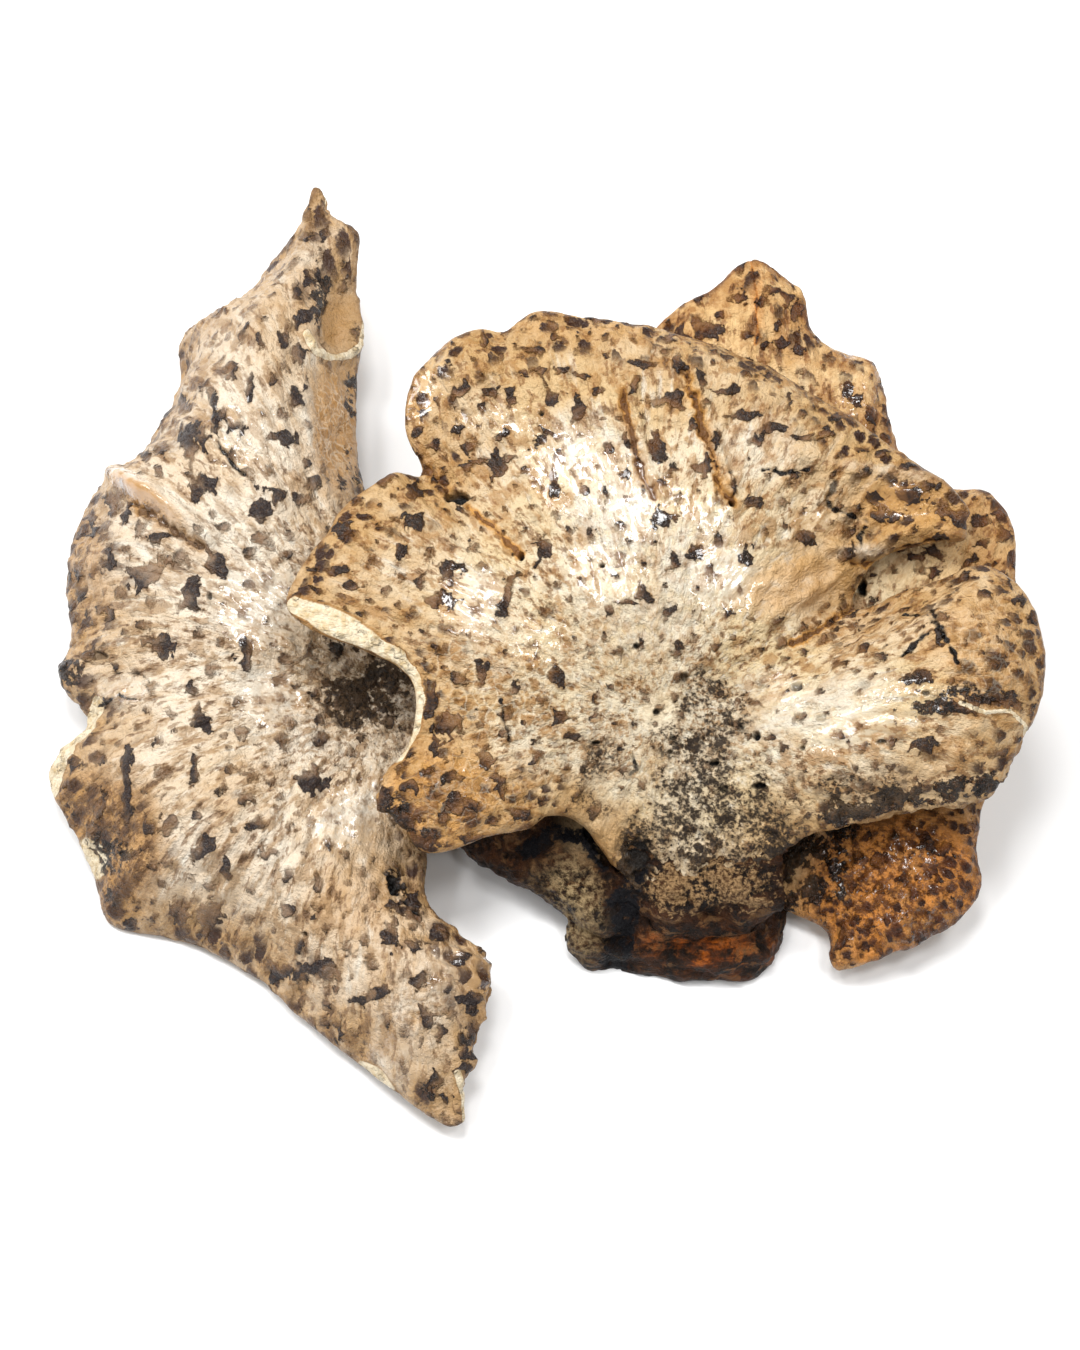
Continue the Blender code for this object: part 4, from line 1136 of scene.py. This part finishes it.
stemLook = {
    "grains": [(20 * mm, 4, 0.6, 0), (7 * mm, 5, 0.65, 0.4), (2.2 * mm, 4, 0.7, 0), (1.1 * mm, 3, 0.6, 0)],
    "fibre": [(3 * mm, 4, 0.6, 0.5)],
    "fibreScale": (0.35, 0.6, 1.2),
    "bump": 2.6 * mm,
    "shine": 0.18,
    "voxel": 1.3 * mm,
    "softenings": 6,
    "relief": 1.3,
    "bark": 1.1,
    "ribs": 0.9,
    "ribScale": (0.4, 1, 1.3),
    "fineBark": 0.5,
    "proud": 3.4,  # of the bark at the front, in millimetres
    "torn": [(705, 945, 75, 22, 4, 1.0), (690, 950, 20, 16, 0, 1.0)],
    "wall": [(575, 905, 34, 56, -8, 1.0), (540, 885, 20, 26, 0, 0.3)],
    "mouth": [(600, 810, 40, 50, 30, 0.9)],
    # the first path is a real crack; the second paints the deep shadow under the arch of the main cap; both
    # are cut in and painted near black
    "crackAndArchShadow": [
        ([(632, 850), (634, 880), (624, 900), (618, 952)], 22),
        ([(528, 852), (556, 830), (586, 838), (602, 866)], 15),
    ],
    "crackDepth": 1.6,
    "crust": [(700, 884, 110, 32, 0, 1.0)],
    "crustCuts": [((0, 1, 0), -0.006), ((-1, 0, 0), 0.018), ((1, 0, 0), 0.038)],
    "crustFrom": (-0.010, -0.021),  # where the crust begins and is full
    "crustThick": 3.0 * mm,
    "crustSunk": 1.2 * mm,
}


def barkMaterial(name, settings, tones):
    g = Graph(name, tones)
    at = g.make("ShaderNodeTexCoord", {}, {}).out("Object")
    along = g.make("ShaderNodeMapping", {}, {"Vector": at, "Scale": settings["fibreScale"]}).out(0)
    torn, wall, mouth, crackAndArchShadow = g.split("zones")
    crust = g.attribute("crust")
    broad, middle, small, speck = g.noises(at, settings["grains"])
    (fibre,) = g.noises(along, settings["fibre"])
    glow = torn * (middle + fibre * 0.6 + small * 0.3).over(0.88, 1.18)
    chalk = wall * (broad * 0.5 + small * 0.9 + middle * 0.8).over(0.95, 1.2)
    crumbs = (crust * 0.5 + (small - 0.5) * 1.6 + (middle - 0.5) * 1.2).over(0.30, 0.55)
    crumbs = crumbs * crust.over(0.02, 0.3)
    # painted shade: the crack and the shadow under the arch go near black
    gap = (crackAndArchShadow * 0.6 + (small - 0.5) * 1.6 + (middle - 0.5) * 2.2).over(0.28, 0.55)
    colour = g.layered("dark", [
        (middle.over(0.38, 0.66), "brown"),
        (small.over(0.5, 0.66) * 0.5, "worn"),
        ((fibre + small * 0.3).over(0.68, 0.78) * 0.6, "fibre"),
        (glow, g.mix(fibre.over(0.4, 0.6), "glowDark", "glow")),
        (chalk * 0.9, g.mix(small.over(0.35, 0.65), "chalkDark", "chalk")),
        (crumbs * 0.9, g.mix(speck.over(0.35, 0.65), "crumbDark", "crumb")),
        (mouth * (0.6 + 0.4 * middle), g.mix(small, "mouthDark", "mouth")),
        (gap * crackAndArchShadow.over(0.02, 0.2), "gap"),
    ])
    height = middle * 0.8 + small * 0.6 + fibre * 0.7 + speck * 0.25
    return g.finish(
        Base_Color=colour,
        Roughness=0.25 + 0.4 * small,
        Specular_IOR_Level=settings["shine"],
        Normal=g.bump(height, settings["bump"]),
    )


def dressedStem(settings, material):
    # a crust of bark grows over the lip of the main cap
    bm = bmesh.new()
    bm.from_mesh(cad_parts["main_cap"].data)
    bmesh.ops.remove_doubles(bm, verts=bm.verts, dist=facets["weld"])
    for axis, limit in settings["crustCuts"]:
        normal = Vector(axis)
        cut = bmesh.ops.bisect_plane(
            bm, geom=bm.verts[:] + bm.edges[:] + bm.faces[:], plane_co=normal * limit, plane_no=normal,
            clear_outer=True,
        )
        opened = [e for e in cut["geom_cut"] if isinstance(e, bmesh.types.BMEdge)]
        bmesh.ops.holes_fill(bm, edges=opened, sides=0)
    bmesh.ops.subdivide_edges(bm, edges=bm.edges, cuts=2, use_grid_fill=True)
    bmesh.ops.triangulate(bm, faces=bm.faces)
    bm.normal_update()
    shares = [smooth(np.array(v.co.y), *settings["crustFrom"]) for v in bm.verts]
    for vert, share in zip(bm.verts, shares):
        vert.co += vert.normal * float(settings["crustThick"] * share - settings["crustSunk"])
    bm.from_mesh(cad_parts["stem"].data)
    bmesh.ops.remove_doubles(bm, verts=bm.verts, dist=facets["weld"])
    coarse = placed("stem_coarse", meshFrom(bm, "stem_coarse"))
    remesh = coarse.modifiers.new("Even facets", "REMESH")
    remesh.mode = "VOXEL"
    remesh.voxel_size = settings["voxel"]
    coarse.modifiers.new("Soften", "SMOOTH").iterations = settings["softenings"]
    fine = applied(coarse)
    place, facing = readMesh(fine)
    spots = inPicture(place)
    seen = smooth(turnedToEye(place, facing), -0.1, 0.1)
    lift = settings["bark"] * grain(place, "bark") + settings["fineBark"] * grain(place, "fineBark")
    lift += settings["ribs"] * grain(place * settings["ribScale"], "fibre")
    lift *= settings["relief"] * smooth(place[:, 2], 0.3 * mm, 3 * mm)
    front = smooth(facing[:, 1], -0.1, -0.7) * smooth(place[:, 1], -14 * mm, -28 * mm)
    lift += front * settings["proud"] * (0.8 + grain(place, "front"))
    crackAndArchShadow = bands(spots + shaken(place) * 2, settings["crackAndArchShadow"], 1.0, 0.3) * seen
    lift -= settings["crackDepth"] * crackAndArchShadow
    zones = [blobs(spots, settings[name]) * seen for name in ("torn", "wall", "mouth")]
    store(fine, {"zones": np.column_stack([*zones, crackAndArchShadow]), "crust": blobs(spots, settings["crust"]) * seen})
    piece = finishedPiece("stem_bark", fine, place + facing * (lift * mm)[:, None], material)
    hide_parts("stem")


dressedStem(stemLook, barkMaterial("stem bark", stemLook, barkTones))


# floor, lamps and camera
bm = bmesh.new()
bmesh.ops.create_grid(bm, x_segments=1, y_segments=1, size=4.0)
floor = placed("floor", meshFrom(bm, "floor"))
paper = Graph("floor paper", {})
floor.data.materials.append(
    paper.finish(Base_Color=(0.93, 0.93, 0.93, 1), Roughness=0.9, Specular_IOR_Level=0.0)
)

lampAim = (-0.045, 0.05, 0.04)
lamps = {
    "overhead": {"at": (-0.13, 0.27, 1.5), "size": 0.36, "power": 9.5},
    "right overhead": {"at": (0.42, -0.03, 1.5), "size": 0.27, "power": 5.0},
    "left overhead": {"at": (-0.62, 0.35, 1.5), "size": 0.27, "power": 6.5},
    "window": {"at": (-1.15, 0.55, 0.95), "size": 0.6, "power": 12.0},
    "right window": {"at": (0.84, 0.88, 1.5), "size": 0.34, "power": 5.5},
    "right front": {"at": (0.53, -0.44, 1.5), "size": 0.24, "power": 3.5},
    "left front": {"at": (-0.78, -0.48, 1.5), "size": 0.3, "power": 3.5},
}
for name, lamp in lamps.items():
    light = bpy.data.lights.new(name, "AREA")
    light.size = lamp["size"]
    light.energy = lamp["power"]
    obj = placed(name, light)
    obj.location = lamp["at"]
    obj.rotation_euler = (Vector(lampAim) - obj.location).to_track_quat("-Z", "Y").to_euler()

world = bpy.data.worlds.new("studio")
world.use_nodes = True
world.node_tree.nodes["Background"].inputs["Color"].default_value = (1, 1, 1, 1)
world.node_tree.nodes["Background"].inputs["Strength"].default_value = 0.3
bpy.context.scene.world = world
bpy.context.scene.view_settings.view_transform = "Standard"

camera = bpy.data.cameras.new("camera")
camera.lens = look["lens"]
camera.sensor_width = 36.0
camera.clip_start, camera.clip_end = 0.01, 20.0
cameraObject = placed("camera", camera)
cameraObject.location = look["eye"]
cameraObject.rotation_euler = (math.radians(look["tilt"]), 0, 0)
bpy.context.scene.camera = cameraObject
print("floor, lamps and camera")
